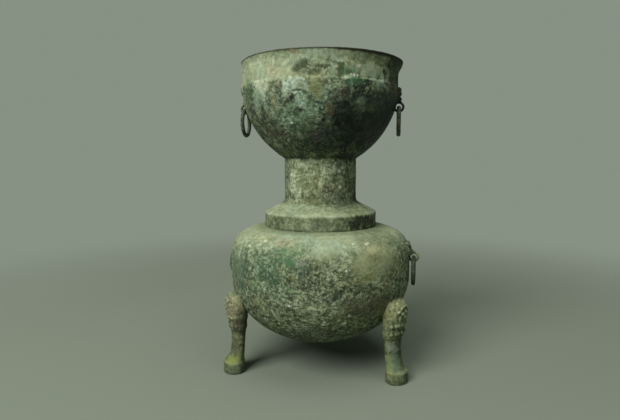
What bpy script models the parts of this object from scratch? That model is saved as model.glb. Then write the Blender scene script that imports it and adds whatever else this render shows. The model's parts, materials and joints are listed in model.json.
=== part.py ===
"""Bronze yan steamer: a steamer bowl on a hollow stem that stands over the mouth of a
three-legged cauldron, with two swinging ring handles on each vessel.

Metres, +Z up, standing on Z = 0. The origin is the middle of the base's bounding box, and
the axis of both vessels is a little in front of it, because the third leg stands behind.
The cauldron is one casting. It is parted at its widest level into a shoulder and a base, and
its legs are parted from the base, so that its hollow is open from that level both ways.
"""

import math

import bmesh
import bpy
from mathutils import Matrix

# Both vessels
WALL = 0.0026
ROUND_STEPS = 36
GAP = 0.0003
CUT_PAST = 0.0100  # how far a hollow's cutter runs out of an open end

# Steamer bowl, from the rim down
RIM_Z = 0.4200
LIP_RADIUS = 0.1110
LIP_HEIGHT = 0.0130
LIP_CREST_INSET = 0.0006
LIP_ROUNDING = 0.0020
LIP_FLARE = 0.0016  # how far the lip has flared at this share of its height
LIP_FLARE_SHARE = 0.6
MOUTH_FLARE = 0.0012
MOUTH_FLARE_DEPTH = 0.0006
BAND_RADIUS = 0.1064
BAND_FOOT_Z = 0.3855
BAND_STEP = 0.0020
BAND_TO_BOWL = 0.0040  # the bowl's curve is followed from this far below the band
BOWL_RADIUS = 0.1079
BOWL_WIDEST_Z = 0.3890
BOWL_POWER = 1.87
BOWL_STEPS = 8
BOWL_FOOT_Z = 0.2918
BOWL_FOOT_RADIUS = 0.0512
STEM_RADIUS = 0.0501
STEM_TOP_DROP = 0.0004
STEM_FOOT_Z = 0.2350
STEM_FILLET = ((0.0016, 0.0038), (0.0056, 0.0066))  # outward, down
COLLAR_RADIUS = 0.0787
COLLAR_TOP_Z = 0.2175
COLLAR_EDGE = ((0.0014, 0.0004), (0.0000, -0.0010))  # inward, up
COLLAR_FOOT_Z = 0.1975
GRATE_TOP_Z = 0.2925
GRATE_THICKNESS = 0.0030
GRATE_CORNER = 0.0030
GRATE_EDGE_INSET = 0.0039
SLOT_WIDTH = 0.0020
SLOT_DEPTH = 0.0090
SLOT_RINGS = ((6, 0.0125, 0.0110), (14, 0.0320, 0.0150))  # count, middle radius, length

# Cauldron
BELLY_RADIUS = 0.1268
BELLY_WIDEST_Z = 0.1300
SHOULDER_POWER = 4.7
SHOULDER_STEPS = 7
BELLY_DROP = 0.0965
BELLY_STEPS = 8
NECK_RADIUS = 0.0660
NECK_TOP_Z = 0.2140
NECK_FILLET = ((0.0000, 0.0030), (0.0040, 0.0004))  # outward, above the collar's seat
BOSS_RADIUS = 0.0190
BOSS_FILLET = 0.0015
BOSS_FOOT_Z = 0.0268
BOSS_EDGE = ((0.0000, 0.0030), (0.0020, 0.0000))  # inward, above the foot
FLOOR_RADIUS = 0.0095
FLOOR_STEP = 0.0010

# Legs: height, how far the section's middle stands from the vessels' axis, half its depth
# outward and half its width across
LEG_ANGLES = {
    "cauldron_leg_right": -30.0,
    "cauldron_leg_back": 90.0,
    "cauldron_leg_left": 210.0,
}
LEG_SECTIONS = (
    (0.0000, 0.1266, 0.0154, 0.0162),
    (0.0020, 0.1266, 0.0160, 0.0168),
    (0.0155, 0.1264, 0.0158, 0.0168),
    (0.0178, 0.1254, 0.0140, 0.0160),
    (0.0215, 0.1234, 0.0112, 0.0152),
    (0.0420, 0.1208, 0.0095, 0.0156),
    (0.0580, 0.1205, 0.0108, 0.0168),
    (0.0690, 0.1208, 0.0138, 0.0192),
    (0.0860, 0.1216, 0.0168, 0.0186),
    (0.1000, 0.1218, 0.0168, 0.0176),
    (0.1050, 0.1214, 0.0140, 0.0144),
    (0.1075, 0.1206, 0.0080, 0.0082),
)
LEG_SIDES = 12
LEG_BACK_FLATTENING = 0.82

# Ring handles, and the cast masks and eyes that hold them
RING_RADIUS = 0.0180
RING_WIRE = 0.0028
EYE_RADIUS = 0.0060
EYE_WIRE = 0.0017
RING_CELLS = (24, 8)  # around, across the wire
EYE_CELLS = (12, 6)
MASK_WIDTH = 0.0270
MASK_HEIGHT = 0.0205
MASK_PROUD = 0.0042
MASK_ROOT = 0.0080
MASK_CELLS = 7
MASK_TAPER = (0.80, 0.20, -0.10)  # width at mid height, its change upward and its falling off
MASK_TOP_CURVE = 0.10
MASK_EDGE_SLOPE = 4.0
MASK_FLOOR = (0.15, 0.25, 0.85)  # relief at the edge, in the field, and at its highest
# height, place across and up, width, height; both places run from -1 to 1
MASK_BUMPS = {
    "horn": (0.40, 0.78, 0.88, 0.22, 0.22),
    "eye": (0.50, 0.42, 0.08, 0.20, 0.17),
    "nose": (0.45, 0.00, -0.30, 0.24, 0.55),
    "snout": (0.65, 0.00, -0.78, 0.42, 0.26),
}
MASK_BROW = (0.55, 0.45, 0.42, 0.34, 0.20)
MASK_BROW_RISE = 0.35
# name: vessel, azimuth, eye's distance from the axis, eye's height, mask's face distance,
# mask's middle height, mask's lean back
HANDLES = {
    "bowl_ring_right": ("steamer_bowl", 0.0, 0.1084, 0.3610, 0.1070, 0.3765, 4.0),
    "bowl_ring_left": ("steamer_bowl", 181.0, 0.1076, 0.3610, 0.1068, 0.3765, 4.0),
    "cauldron_ring_right": ("cauldron_shoulder", -4.0, 0.1324, 0.1556, 0.1258, 0.1672, -20.0),
    "cauldron_ring_left": ("cauldron_shoulder", 172.0, 0.1324, 0.1556, 0.1258, 0.1672, -20.0),
}

SMOOTH_ANGLE = 35.0

# The back hoof reaches further than the belly does in front, and the origin is between them.
BACK_REACH = LEG_SECTIONS[1][1] + LEG_SECTIONS[1][2]
AXIS_Y = -(BACK_REACH - BELLY_RADIUS) / 2


def clear_scene():
    for obj in list(bpy.data.objects):
        bpy.data.objects.remove(obj, do_unlink=True)


def new_collection(name):
    collection = bpy.data.collections.new(name)
    bpy.context.scene.collection.children.link(collection)
    return collection


def bronze(name, colour, roughness):
    """Weathered bronze: a dull green skin over metal."""
    material = bpy.data.materials.new(name)
    material.use_nodes = True
    shader = material.node_tree.nodes["Principled BSDF"]
    shader.inputs["Base Color"].default_value = (*colour, 1.0)
    shader.inputs["Roughness"].default_value = roughness
    shader.inputs["Metallic"].default_value = 0.25
    return material


def add_object(name, mesh, collection, parent):
    obj = bpy.data.objects.new(name, mesh)
    collection.objects.link(obj)
    obj.parent = parent
    return obj


def as_cutter(obj):
    obj.hide_render = True
    obj.display_type = "WIRE"
    return obj


def offset_inward(profile, distance):
    """A profile moved towards its left as it runs down, which is the inside of the wall."""
    moved = []
    for i, (radius, z) in enumerate(profile):
        before = profile[max(i - 1, 0)]
        after = profile[min(i + 1, len(profile) - 1)]
        along_r, along_z = after[0] - before[0], after[1] - before[1]
        length = math.hypot(along_r, along_z)
        moved.append((radius + along_z / length * distance, z - along_r / length * distance))
    return moved


def quarter(radius, middle_z, rise, power, end_radius, steps):
    """A rounded-square quarter of a profile, from its widest level to end_radius. The rise
    is negative where the profile runs down."""
    end = math.acos((end_radius / radius) ** (power / 2))
    points = []
    for i in range(steps + 1):
        turn = end * i / steps
        across = math.cos(turn) ** (2 / power)
        along = math.sin(turn) ** (2 / power)
        points.append((radius * across, middle_z + rise * along))
    return points


def fitted_rise(radius, power, end_radius, height):
    """The full rise of a quarter that has risen by height where it reaches end_radius."""
    return height / (1 - (end_radius / radius) ** power) ** (1 / power)


def bowl_outer():
    """Lip, upright band and round bowl, from the rim's outer edge down to the stem."""
    points = [
        (LIP_RADIUS - LIP_CREST_INSET, RIM_Z),
        (LIP_RADIUS, RIM_Z - LIP_ROUNDING),
        (BAND_RADIUS + LIP_FLARE, RIM_Z - LIP_HEIGHT * LIP_FLARE_SHARE),
        (BAND_RADIUS, RIM_Z - LIP_HEIGHT),
        (BAND_RADIUS, BAND_FOOT_Z + BAND_STEP),
        (BOWL_RADIUS, BAND_FOOT_Z),
    ]
    depth = BOWL_WIDEST_Z - BOWL_FOOT_Z
    drop = fitted_rise(BOWL_RADIUS, BOWL_POWER, BOWL_FOOT_RADIUS, depth)
    curve = quarter(BOWL_RADIUS, BOWL_WIDEST_Z, -drop, BOWL_POWER, BOWL_FOOT_RADIUS, BOWL_STEPS)
    return points + [point for point in curve if point[1] < BAND_FOOT_Z - BAND_TO_BOWL]


def stem_outer():
    """Stem, its fillet, the sloping collar and the collar's upright band."""
    stem = [(STEM_RADIUS, BOWL_FOOT_Z - STEM_TOP_DROP), (STEM_RADIUS, STEM_FOOT_Z)]
    fillet = [(STEM_RADIUS + outward, STEM_FOOT_Z - down) for outward, down in STEM_FILLET]
    edge = [(COLLAR_RADIUS - inward, COLLAR_TOP_Z + up) for inward, up in COLLAR_EDGE]
    return stem + fillet + edge + [(COLLAR_RADIUS, COLLAR_FOOT_Z)]


def shoulder_outer():
    """Neck and shoulder, from the mouth down to the belly's widest level."""
    seat = COLLAR_FOOT_Z - GAP
    height = seat - BELLY_WIDEST_Z
    rise = fitted_rise(BELLY_RADIUS, SHOULDER_POWER, COLLAR_RADIUS, height)
    curve = quarter(
        BELLY_RADIUS, BELLY_WIDEST_Z, rise, SHOULDER_POWER, COLLAR_RADIUS, SHOULDER_STEPS
    )
    neck = [(NECK_RADIUS + outward, seat + up) for outward, up in NECK_FILLET]
    return [(NECK_RADIUS, NECK_TOP_Z)] + neck + curve[::-1]


def base_outer():
    """Belly and the low boss under it, from the belly's widest level down."""
    end_radius = BOSS_RADIUS + BOSS_FILLET
    curve = quarter(BELLY_RADIUS, BELLY_WIDEST_Z, -BELLY_DROP, 2, end_radius, BELLY_STEPS)
    boss = [(BOSS_RADIUS - inward, BOSS_FOOT_Z + up) for inward, up in BOSS_EDGE]
    return [(BELLY_RADIUS, BELLY_WIDEST_Z - GAP)] + curve[1:] + boss


def turned(name, profile, collection, parent):
    """A solid of revolution about Z from a profile that runs down its outer side."""
    top = (0.0, profile[0][1])
    foot = (0.0, profile[-1][1])
    points = [top, *profile, foot]
    mesh = bpy.data.meshes.new(name)
    edges = [(i, i + 1) for i in range(len(points) - 1)]
    mesh.from_pydata([(radius, 0.0, z) for radius, z in points], edges, [])
    obj = add_object(name, mesh, collection, parent)
    screw = obj.modifiers.new("turn", "SCREW")
    screw.steps = ROUND_STEPS
    screw.render_steps = ROUND_STEPS
    screw.use_merge_vertices = True
    screw.merge_threshold = 0.00001
    return obj


def combine(obj, other, operation):
    boolean = obj.modifiers.new(f"{operation.lower()} {other.name}", "BOOLEAN")
    boolean.operation = operation
    boolean.object = other
    boolean.solver = "EXACT"


def leg_ring(section):
    """One rounded section of a leg that stands out along +X, flatter behind."""
    z, middle, half_depth, half_width = section
    ring = []
    for i in range(LEG_SIDES):
        turn = 2 * math.pi * (i + 0.5) / LEG_SIDES
        outward = half_depth * math.cos(turn)
        if outward < 0:
            outward *= LEG_BACK_FLATTENING
        ring.append((middle + outward, half_width * math.sin(turn), z))
    return ring


def leg_mesh():
    """A loft through the leg's unlike sections, from the hoof to the top of the knee."""
    mesh = bpy.data.meshes.new("leg")
    bm = bmesh.new()
    rings = [[bm.verts.new(point) for point in leg_ring(section)] for section in LEG_SECTIONS]
    for lower, upper in zip(rings, rings[1:]):
        for i in range(LEG_SIDES):
            j = (i + 1) % LEG_SIDES
            bm.faces.new((lower[i], lower[j], upper[j], upper[i]))
    bm.faces.new(rings[0][::-1])
    bm.faces.new(rings[-1])
    bm.to_mesh(mesh)
    bm.free()
    return mesh


def bump(across, up, at_across, at_up, width, height):
    """How high a rounded bump stands at one place, from 0 to 1."""
    return math.exp(-(((across - at_across) / width) ** 2) - ((up - at_up) / height) ** 2)


def mask_relief(across, up):
    """How far an animal mask stands out, from 0 to 1. Both coordinates run from -1 to 1."""
    side = abs(across)
    height, at_across, at_up, wide, tall = MASK_BROW
    features = height * bump(side, up, at_across, at_up + MASK_BROW_RISE * side, wide, tall)
    for height, *place in MASK_BUMPS.values():
        features += height * bump(side, up, *place)
    edge = min(1.0, MASK_EDGE_SLOPE * (1 - side)) * min(1.0, MASK_EDGE_SLOPE * (1 - abs(up)))
    at_edge, field, highest = MASK_FLOOR
    return at_edge + max(0.0, edge) * min(highest, field + features)


def mask_mesh():
    """A shield-shaped relief facing +X, wide at the horns and narrow at the chin."""
    mesh = bpy.data.meshes.new("mask")
    bm = bmesh.new()
    bmesh.ops.create_grid(bm, x_segments=MASK_CELLS, y_segments=MASK_CELLS, size=1.0)
    front = list(bm.verts)
    bmesh.ops.reverse_faces(bm, faces=list(bm.faces))
    back = bmesh.ops.extrude_face_region(bm, geom=list(bm.faces))
    back_verts = [item for item in back["geom"] if isinstance(item, bmesh.types.BMVert)]
    for vert in front + back_verts:
        across, up = vert.co.x, vert.co.y
        narrowing = MASK_TAPER[0] + MASK_TAPER[1] * up + MASK_TAPER[2] * up * up
        y = across * narrowing * MASK_WIDTH / 2
        z = up * MASK_HEIGHT / 2 * (1 - MASK_TOP_CURVE * across * across)
        x = -MASK_ROOT
        if vert in front:
            x = MASK_PROUD * mask_relief(across, up)
        vert.co = (x, y, z)
    bmesh.ops.recalc_face_normals(bm, faces=list(bm.faces))
    bm.to_mesh(mesh)
    bm.free()
    return mesh


def torus_mesh(name, radius, wire, cells):
    """A ring standing upright, with its hole along X."""
    bpy.ops.mesh.primitive_torus_add(
        major_radius=radius,
        minor_radius=wire,
        major_segments=cells[0],
        minor_segments=cells[1],
    )
    made = bpy.context.active_object
    mesh = made.data
    bpy.data.objects.remove(made, do_unlink=True)
    mesh.name = name
    mesh.transform(Matrix.Rotation(math.radians(90), 4, "Y"))
    return mesh


def on_wall(obj, azimuth, distance, z, lean=0.0):
    """Places a piece that faces +X at an azimuth, turned with it and leaning back."""
    turn = math.radians(azimuth)
    obj.location = (distance * math.cos(turn), distance * math.sin(turn), z)
    obj.rotation_euler = (0.0, math.radians(lean), turn)
    return obj


def add_holders(vessels, cutters, frame):
    """Casts a mask and an eye onto the vessel wherever a ring hangs."""
    mask = mask_mesh()
    eye = torus_mesh("eye", EYE_RADIUS, EYE_WIRE, EYE_CELLS)
    eye.transform(Matrix.Rotation(math.radians(90), 4, "Z"))
    for ring, (vessel, azimuth, reach, z, mask_reach, mask_z, lean) in HANDLES.items():
        mask_obj = add_object(f"{ring}_mask", mask, cutters, frame)
        eye_obj = add_object(f"{ring}_eye", eye, cutters, frame)
        on_wall(mask_obj, azimuth, mask_reach, mask_z, lean)
        on_wall(eye_obj, azimuth, reach, z)
        combine(vessels[vessel], as_cutter(mask_obj), "UNION")
        combine(vessels[vessel], as_cutter(eye_obj), "UNION")


def add_legs(parts, cutters, frame, material):
    """Each leg stands close against the belly, which is cut out of its back."""
    mesh = leg_mesh()
    mesh.materials.append(material)
    belly = as_cutter(turned("leg_seat", offset_inward(base_outer(), -GAP), cutters, frame))
    for name, angle in LEG_ANGLES.items():
        leg = add_object(name, mesh.copy(), parts, frame)
        leg.rotation_euler = (0.0, 0.0, math.radians(angle))
        combine(leg, belly, "DIFFERENCE")


def hollow_steamer(bowl, cutters, frame):
    """Opens the bowl from above and the stem from below, and leaves the grate between."""
    inner = offset_inward(bowl_outer(), WALL)
    mouth_radius = inner[1][0] + MOUTH_FLARE
    above = [(mouth_radius, RIM_Z + CUT_PAST), (mouth_radius, RIM_Z - MOUTH_FLARE_DEPTH)]
    wall = [point for point in inner[2:] if point[1] > GRATE_TOP_Z + GRATE_CORNER]
    floor = [(BOWL_FOOT_RADIUS - GRATE_EDGE_INSET, GRATE_TOP_Z)]
    bowl_space = turned("bowl_space", above + wall + floor, cutters, frame)
    grate_foot = [(STEM_RADIUS - WALL, GRATE_TOP_Z - GRATE_THICKNESS)]
    stem_wall = offset_inward(stem_outer(), WALL)[1:-1]
    below = [(COLLAR_RADIUS - WALL, COLLAR_FOOT_Z - CUT_PAST)]
    stem_space = turned("stem_space", grate_foot + stem_wall + below, cutters, frame)
    combine(bowl, as_cutter(bowl_space), "DIFFERENCE")
    combine(bowl, as_cutter(stem_space), "DIFFERENCE")


def slot_mesh():
    """All the grate's radial slots, as one set of upright boxes."""
    mesh = bpy.data.meshes.new("slots")
    bm = bmesh.new()
    for count, radius, length in SLOT_RINGS:
        for i in range(count):
            place = Matrix.Rotation(2 * math.pi * i / count, 4, "Z")
            place @= Matrix.Translation((radius, 0.0, GRATE_TOP_Z - GRATE_THICKNESS / 2))
            place @= Matrix.Diagonal((length, SLOT_WIDTH, SLOT_DEPTH, 1.0))
            bmesh.ops.create_cube(bm, size=1.0, matrix=place)
    bm.to_mesh(mesh)
    bm.free()
    return mesh


def hollow_cauldron(shoulder, base, cutters, frame):
    """One hollow through the neck, the shoulder and the belly, cut from both parts."""
    inner = offset_inward(shoulder_outer() + base_outer()[1:], WALL)
    lowest = BELLY_WIDEST_Z - BELLY_DROP + WALL
    wall = [(r, z) for r, z in inner[1:] if z > lowest + FLOOR_STEP and r > BOSS_RADIUS]
    mouth = [(NECK_RADIUS - WALL, NECK_TOP_Z + CUT_PAST)]
    floor = [(FLOOR_RADIUS, lowest)]
    space = as_cutter(turned("cauldron_space", mouth + wall + floor, cutters, frame))
    combine(shoulder, space, "DIFFERENCE")
    combine(base, space, "DIFFERENCE")


def add_rings(parts, frame, material):
    """Each ring hangs at rest, with its origin on its hinge in the eye."""
    slack = EYE_RADIUS - EYE_WIRE - RING_WIRE - GAP
    mesh = torus_mesh("ring", RING_RADIUS, RING_WIRE, RING_CELLS)
    mesh.transform(Matrix.Translation((0.0, 0.0, -RING_RADIUS)))
    mesh.materials.append(material)
    for name, (_, azimuth, reach, z, *_) in HANDLES.items():
        ring = add_object(name, mesh.copy(), parts, frame)
        on_wall(ring, azimuth, reach, z - slack)


def shade(obj):
    obj.data.shade_smooth()
    if len(obj.data.polygons):
        obj.data.set_sharp_from_angle(angle=math.radians(SMOOTH_ANGLE))


def main():
    clear_scene()
    parts = new_collection("yan_steamer")
    cutters = new_collection("yan_steamer_cutters")
    frame = add_object("yan_axis", None, parts, None)
    frame.location = (0.0, AXIS_Y, 0.0)

    bowl = turned("steamer_bowl", bowl_outer() + stem_outer(), parts, frame)
    shoulder = turned("cauldron_shoulder", shoulder_outer(), parts, frame)
    base = turned("cauldron_base", base_outer(), parts, frame)
    mottled = bronze("mottled_green_bronze", (0.21, 0.26, 0.17), 0.85)
    bowl.data.materials.append(bronze("pale_green_bronze", (0.30, 0.34, 0.24), 0.85))
    shoulder.data.materials.append(mottled)
    base.data.materials.append(mottled)

    add_holders({"steamer_bowl": bowl, "cauldron_shoulder": shoulder}, cutters, frame)
    add_legs(parts, cutters, frame, mottled)
    hollow_steamer(bowl, cutters, frame)
    slots = as_cutter(add_object("grate_slots", slot_mesh(), cutters, frame))
    combine(bowl, slots, "DIFFERENCE")
    hollow_cauldron(shoulder, base, cutters, frame)

    add_rings(parts, frame, bronze("dark_green_bronze", (0.07, 0.09, 0.06), 0.70))
    for obj in parts.objects:
        if obj.type == "MESH":
            shade(obj)


main()
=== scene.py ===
import json
import math

import bpy
import numpy as np
from mathutils import Matrix, Vector


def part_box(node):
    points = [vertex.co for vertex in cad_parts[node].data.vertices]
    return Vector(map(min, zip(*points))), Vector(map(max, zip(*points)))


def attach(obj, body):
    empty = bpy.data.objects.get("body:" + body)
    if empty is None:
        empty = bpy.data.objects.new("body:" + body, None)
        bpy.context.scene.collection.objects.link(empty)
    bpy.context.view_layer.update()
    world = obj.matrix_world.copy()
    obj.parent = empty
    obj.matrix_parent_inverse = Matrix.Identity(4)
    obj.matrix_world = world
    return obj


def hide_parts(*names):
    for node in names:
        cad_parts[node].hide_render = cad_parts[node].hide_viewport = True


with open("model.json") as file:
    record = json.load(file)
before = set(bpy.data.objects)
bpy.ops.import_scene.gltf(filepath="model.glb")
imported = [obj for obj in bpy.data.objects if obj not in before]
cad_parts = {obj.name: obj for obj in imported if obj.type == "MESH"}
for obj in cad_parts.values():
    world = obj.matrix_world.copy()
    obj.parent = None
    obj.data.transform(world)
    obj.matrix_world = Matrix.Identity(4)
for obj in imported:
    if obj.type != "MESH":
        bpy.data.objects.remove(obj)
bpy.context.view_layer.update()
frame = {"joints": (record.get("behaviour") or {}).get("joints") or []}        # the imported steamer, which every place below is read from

bowlLow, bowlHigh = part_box("steamer_bowl")
shoulderLow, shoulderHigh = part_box("cauldron_shoulder")
axisY = (bowlLow.y + bowlHigh.y) / 2
mergeDistance = 0.00001
jointOf = {joint["child"]: joint for joint in frame["joints"]}


def deselectAll():
    if bpy.context.mode != "OBJECT":
        bpy.ops.object.mode_set(mode="OBJECT")
    bpy.ops.object.select_all(action="DESELECT")


def activate(piece):
    deselectAll()
    piece.select_set(True)
    bpy.context.view_layer.objects.active = piece


def editAll(piece):
    activate(piece)
    bpy.ops.object.mode_set(mode="EDIT")
    bpy.ops.mesh.select_all(action="SELECT")


def leaveEdit():
    bpy.ops.object.mode_set(mode="OBJECT")


def useModifier(piece, kind, **settings):
    activate(piece)
    modifier = piece.modifiers.new(kind.lower(), kind)
    for key, value in settings.items():
        setattr(modifier, key, value)
    bpy.ops.object.modifier_apply(modifier=modifier.name)


def subdivide(piece, levels):
    useModifier(piece, "SUBSURF", levels=levels, render_levels=levels)


def combine(piece, other, operation):
    # the other mesh is used up
    useModifier(piece, "BOOLEAN", object=other, operation=operation, solver="MANIFOLD")
    bpy.data.objects.remove(other, do_unlink=True)


def coordinates(piece):
    points = np.empty(len(piece.data.vertices) * 3)
    piece.data.vertices.foreach_get("co", points)
    return points.reshape(-1, 3)


def normalsOf(piece):
    normals = np.empty(len(piece.data.vertices) * 3)
    piece.data.vertices.foreach_get("normal", normals)
    return normals.reshape(-1, 3)


def pull(piece, nearest, height, reach):
    # drags one vertex out along its normal, and its surroundings with it
    move = piece.data.vertices[nearest].normal * height
    activate(piece)
    bpy.ops.object.mode_set(mode="EDIT")
    bpy.ops.mesh.select_all(action="DESELECT")
    bpy.ops.object.mode_set(mode="OBJECT")
    piece.data.vertices[nearest].select = True
    bpy.ops.object.mode_set(mode="EDIT")
    bpy.ops.transform.translate(
        value=move, use_proportional_edit=True,
        proportional_edit_falloff="SMOOTH", proportional_size=reach,
    )
    leaveEdit()


def frontmost(piece, across, up, near=0.0012):
    # the vertex that stands furthest along +X at a place across and up
    points = coordinates(piece)
    away = np.hypot(points[:, 1] - across, points[:, 2] - up)
    return int(np.argmax(points[:, 0] - np.maximum(away - near, 0) * 40))


def modelFeatures(piece, features, middle=0.0):
    # each feature: places across and up, how far it stands out and its reach, all in mm
    for across, up, height, reach in features:
        for side in (1, -1) if across else (1,):
            nearest = frontmost(piece, middle + side * across * 0.001, up * 0.001)
            pull(piece, nearest, height * 0.001, reach * 0.001)


def paintGroup(piece, name, weights, steps=20):
    group = piece.vertex_groups.new(name=name)
    levels = np.round(np.clip(weights, 0, 1) * steps).astype(int)
    for level in range(1, steps + 1):
        group.add(np.nonzero(levels == level)[0].tolist(), level / steps, "REPLACE")
    return name


def cloudTexture(name, size, depth=2, kind="SOFT_NOISE", ramp=None):
    texture = bpy.data.textures.new(name, "CLOUDS")
    texture.noise_scale = size
    texture.noise_depth = depth
    texture.noise_type = kind
    texture.noise_basis = "BLENDER_ORIGINAL"
    if ramp:
        texture.use_color_ramp = True
        elements = texture.color_ramp.elements
        while len(elements) < len(ramp):
            elements.new(0.5)
        for element, (place, value) in zip(elements, ramp):
            element.position = place
            element.color = (value, value, value, 1)
    return texture


def keepLayer(piece, label, values):
    layer = piece.data.attributes.get(label) or piece.data.attributes.new(label, "FLOAT", "POINT")
    layer.data.foreach_set("value", np.asarray(values, np.float32))


def relief(piece, label, texture, height, middle, group, direction="NORMAL"):
    # displaces the surface and keeps how far each point went, as a share of the height
    before, normals = coordinates(piece), normalsOf(piece)
    useModifier(
        piece, "DISPLACE", texture=texture, texture_coords="LOCAL",
        strength=height, mid_level=middle, vertex_group=group, direction=direction,
    )
    if label:
        moved = ((coordinates(piece) - before) * normals).sum(axis=1) / height
        keepLayer(piece, label, moved)


def softStep(values, low, high):
    share = np.clip((values - low) / (high - low), 0, 1)
    return share * share * (3 - 2 * share)


def onWall(piece, azimuth, distance, z, lean=0):
    # a piece that faces +X goes to its place on the wall, and its object back to the origin
    turn = math.radians(azimuth)
    place = Matrix.Translation((distance * math.cos(turn), axisY + distance * math.sin(turn), z))
    turned = Matrix.Rotation(turn, 4, "Z") @ Matrix.Rotation(math.radians(lean), 4, "Y")
    piece.data.transform(place @ turned)


def smooth(piece, angle):
    activate(piece)
    bpy.ops.object.shade_smooth_by_angle(angle=math.radians(angle))


def quarter(radius, middleZ, rise, power, endRadius, steps):
    # a rounded-square quarter from its widest level to endRadius
    end = math.acos((endRadius / radius) ** (power / 2))
    return [
        (
            radius * math.cos(end * i / steps) ** (2 / power),
            middleZ + rise * math.sin(end * i / steps) ** (2 / power),
        )
        for i in range(steps + 1)
    ]


def fittedRise(radius, power, endRadius, height):
    return height / (1 - (endRadius / radius) ** power) ** (1 / power)


def inward(outline, distance):
    # the outline moved towards the inside of the wall
    moved = []
    for i, (radius, z) in enumerate(outline):
        before, after = outline[max(i - 1, 0)], outline[min(i + 1, len(outline) - 1)]
        alongR, alongZ = after[0] - before[0], after[1] - before[1]
        length = math.hypot(alongR, alongZ)
        moved.append((radius + alongZ / length * distance, z - alongR / length * distance))
    return moved


def filled(outline, spacing):
    # the same outline with points added where a step is longer than spacing
    points = [outline[0]]
    for start, end in zip(outline, outline[1:]):
        count = max(1, math.ceil(math.dist(start, end) / spacing))
        points += [
            tuple(a + (b - a) * i / count for a, b in zip(start, end))
            for i in range(1, count + 1)
        ]
    return points


def thinned(outline, spacing):
    # without the points that follow closer than spacing, but with both ends
    kept = [outline[0]]
    for point in outline[1:-1]:
        if math.dist(point, kept[-1]) > spacing:
            kept.append(point)
    return kept + [outline[-1]]


def held(outline, reach, corners):
    # two more points close beside each crisp corner, so that it stays crisp when subdivided
    points = []
    for i, point in enumerate(outline):
        if i not in corners:
            points.append(point)
            continue
        for other in (outline[i - 1], None, outline[i + 1]):
            if other is None:
                points.append(point)
                continue
            share = min(0.45, reach / math.dist(point, other))
            points.append(tuple(a + (b - a) * share for a, b in zip(point, other)))
    return points


def turnOutline(name, outline, steps):
    # one vertex, extruded along the half outline and spun about the vessels' axis
    deselectAll()
    bpy.ops.mesh.primitive_plane_add(size=0.01, location=(0, 0, 0))
    piece = bpy.context.object
    piece.name = name
    bpy.ops.object.mode_set(mode="EDIT")
    bpy.ops.mesh.merge(type="CENTER")
    bpy.ops.transform.translate(value=(outline[0][0], 0, outline[0][1]))
    for (startR, startZ), (endR, endZ) in zip(outline, outline[1:]):
        bpy.ops.mesh.extrude_region_move(
            TRANSFORM_OT_translate={"value": (endR - startR, 0, endZ - startZ)}
        )
    bpy.ops.mesh.select_all(action="SELECT")
    bpy.ops.mesh.spin(steps=steps, angle=2 * math.pi, center=(0, 0, 0), axis=(0, 0, 1))
    bpy.ops.mesh.select_all(action="SELECT")
    bpy.ops.mesh.remove_doubles(threshold=mergeDistance)
    bpy.ops.mesh.normals_make_consistent(inside=False)
    bpy.ops.transform.translate(value=(0, axisY, 0))
    leaveEdit()
    return piece


steamer = {
    "wall": 0.0026,
    "lipRadius": (bowlHigh.y - bowlLow.y) / 2,
    "rimZ": bowlHigh.z,
    "lipHeight": 0.0130,
    "bandRadius": 0.1083,
    "bandFootZ": 0.3855,
    "bowlRadius": 0.1091,
    "bowlWidestZ": 0.3890,
    "bowlPower": 1.87,
    "bowlFootZ": 0.2918,
    "bowlFootRadius": 0.0512,
    "stemRadius": 0.0501,
    "stemFootZ": 0.2350,
    "collarRadius": 0.0787,
    "collarTopZ": 0.2175,
    "collarFootZ": bowlLow.z,
    "grateTopZ": 0.2925,
    "grateThickness": 0.0030,
    "stepsRound": 72,
    "outerSpacing": 0.0060,
    "innerSpacing": 0.0130,
    "cornerReach": 0.0006,
    "slots": ((6, 0.0125, 0.0110), (14, 0.0320, 0.0150)),
    "slotWidth": 0.0020,
    "coreReach": (0.405, 0.300),
    # the levels that were cast off the axis: from, to, how far along X, and its reach
    "shifts": ((0.3850, 0.4040, -0.0012, 0.0120), (0.4175, 0.4250, 0.0022, 0.0140)),
}


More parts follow.
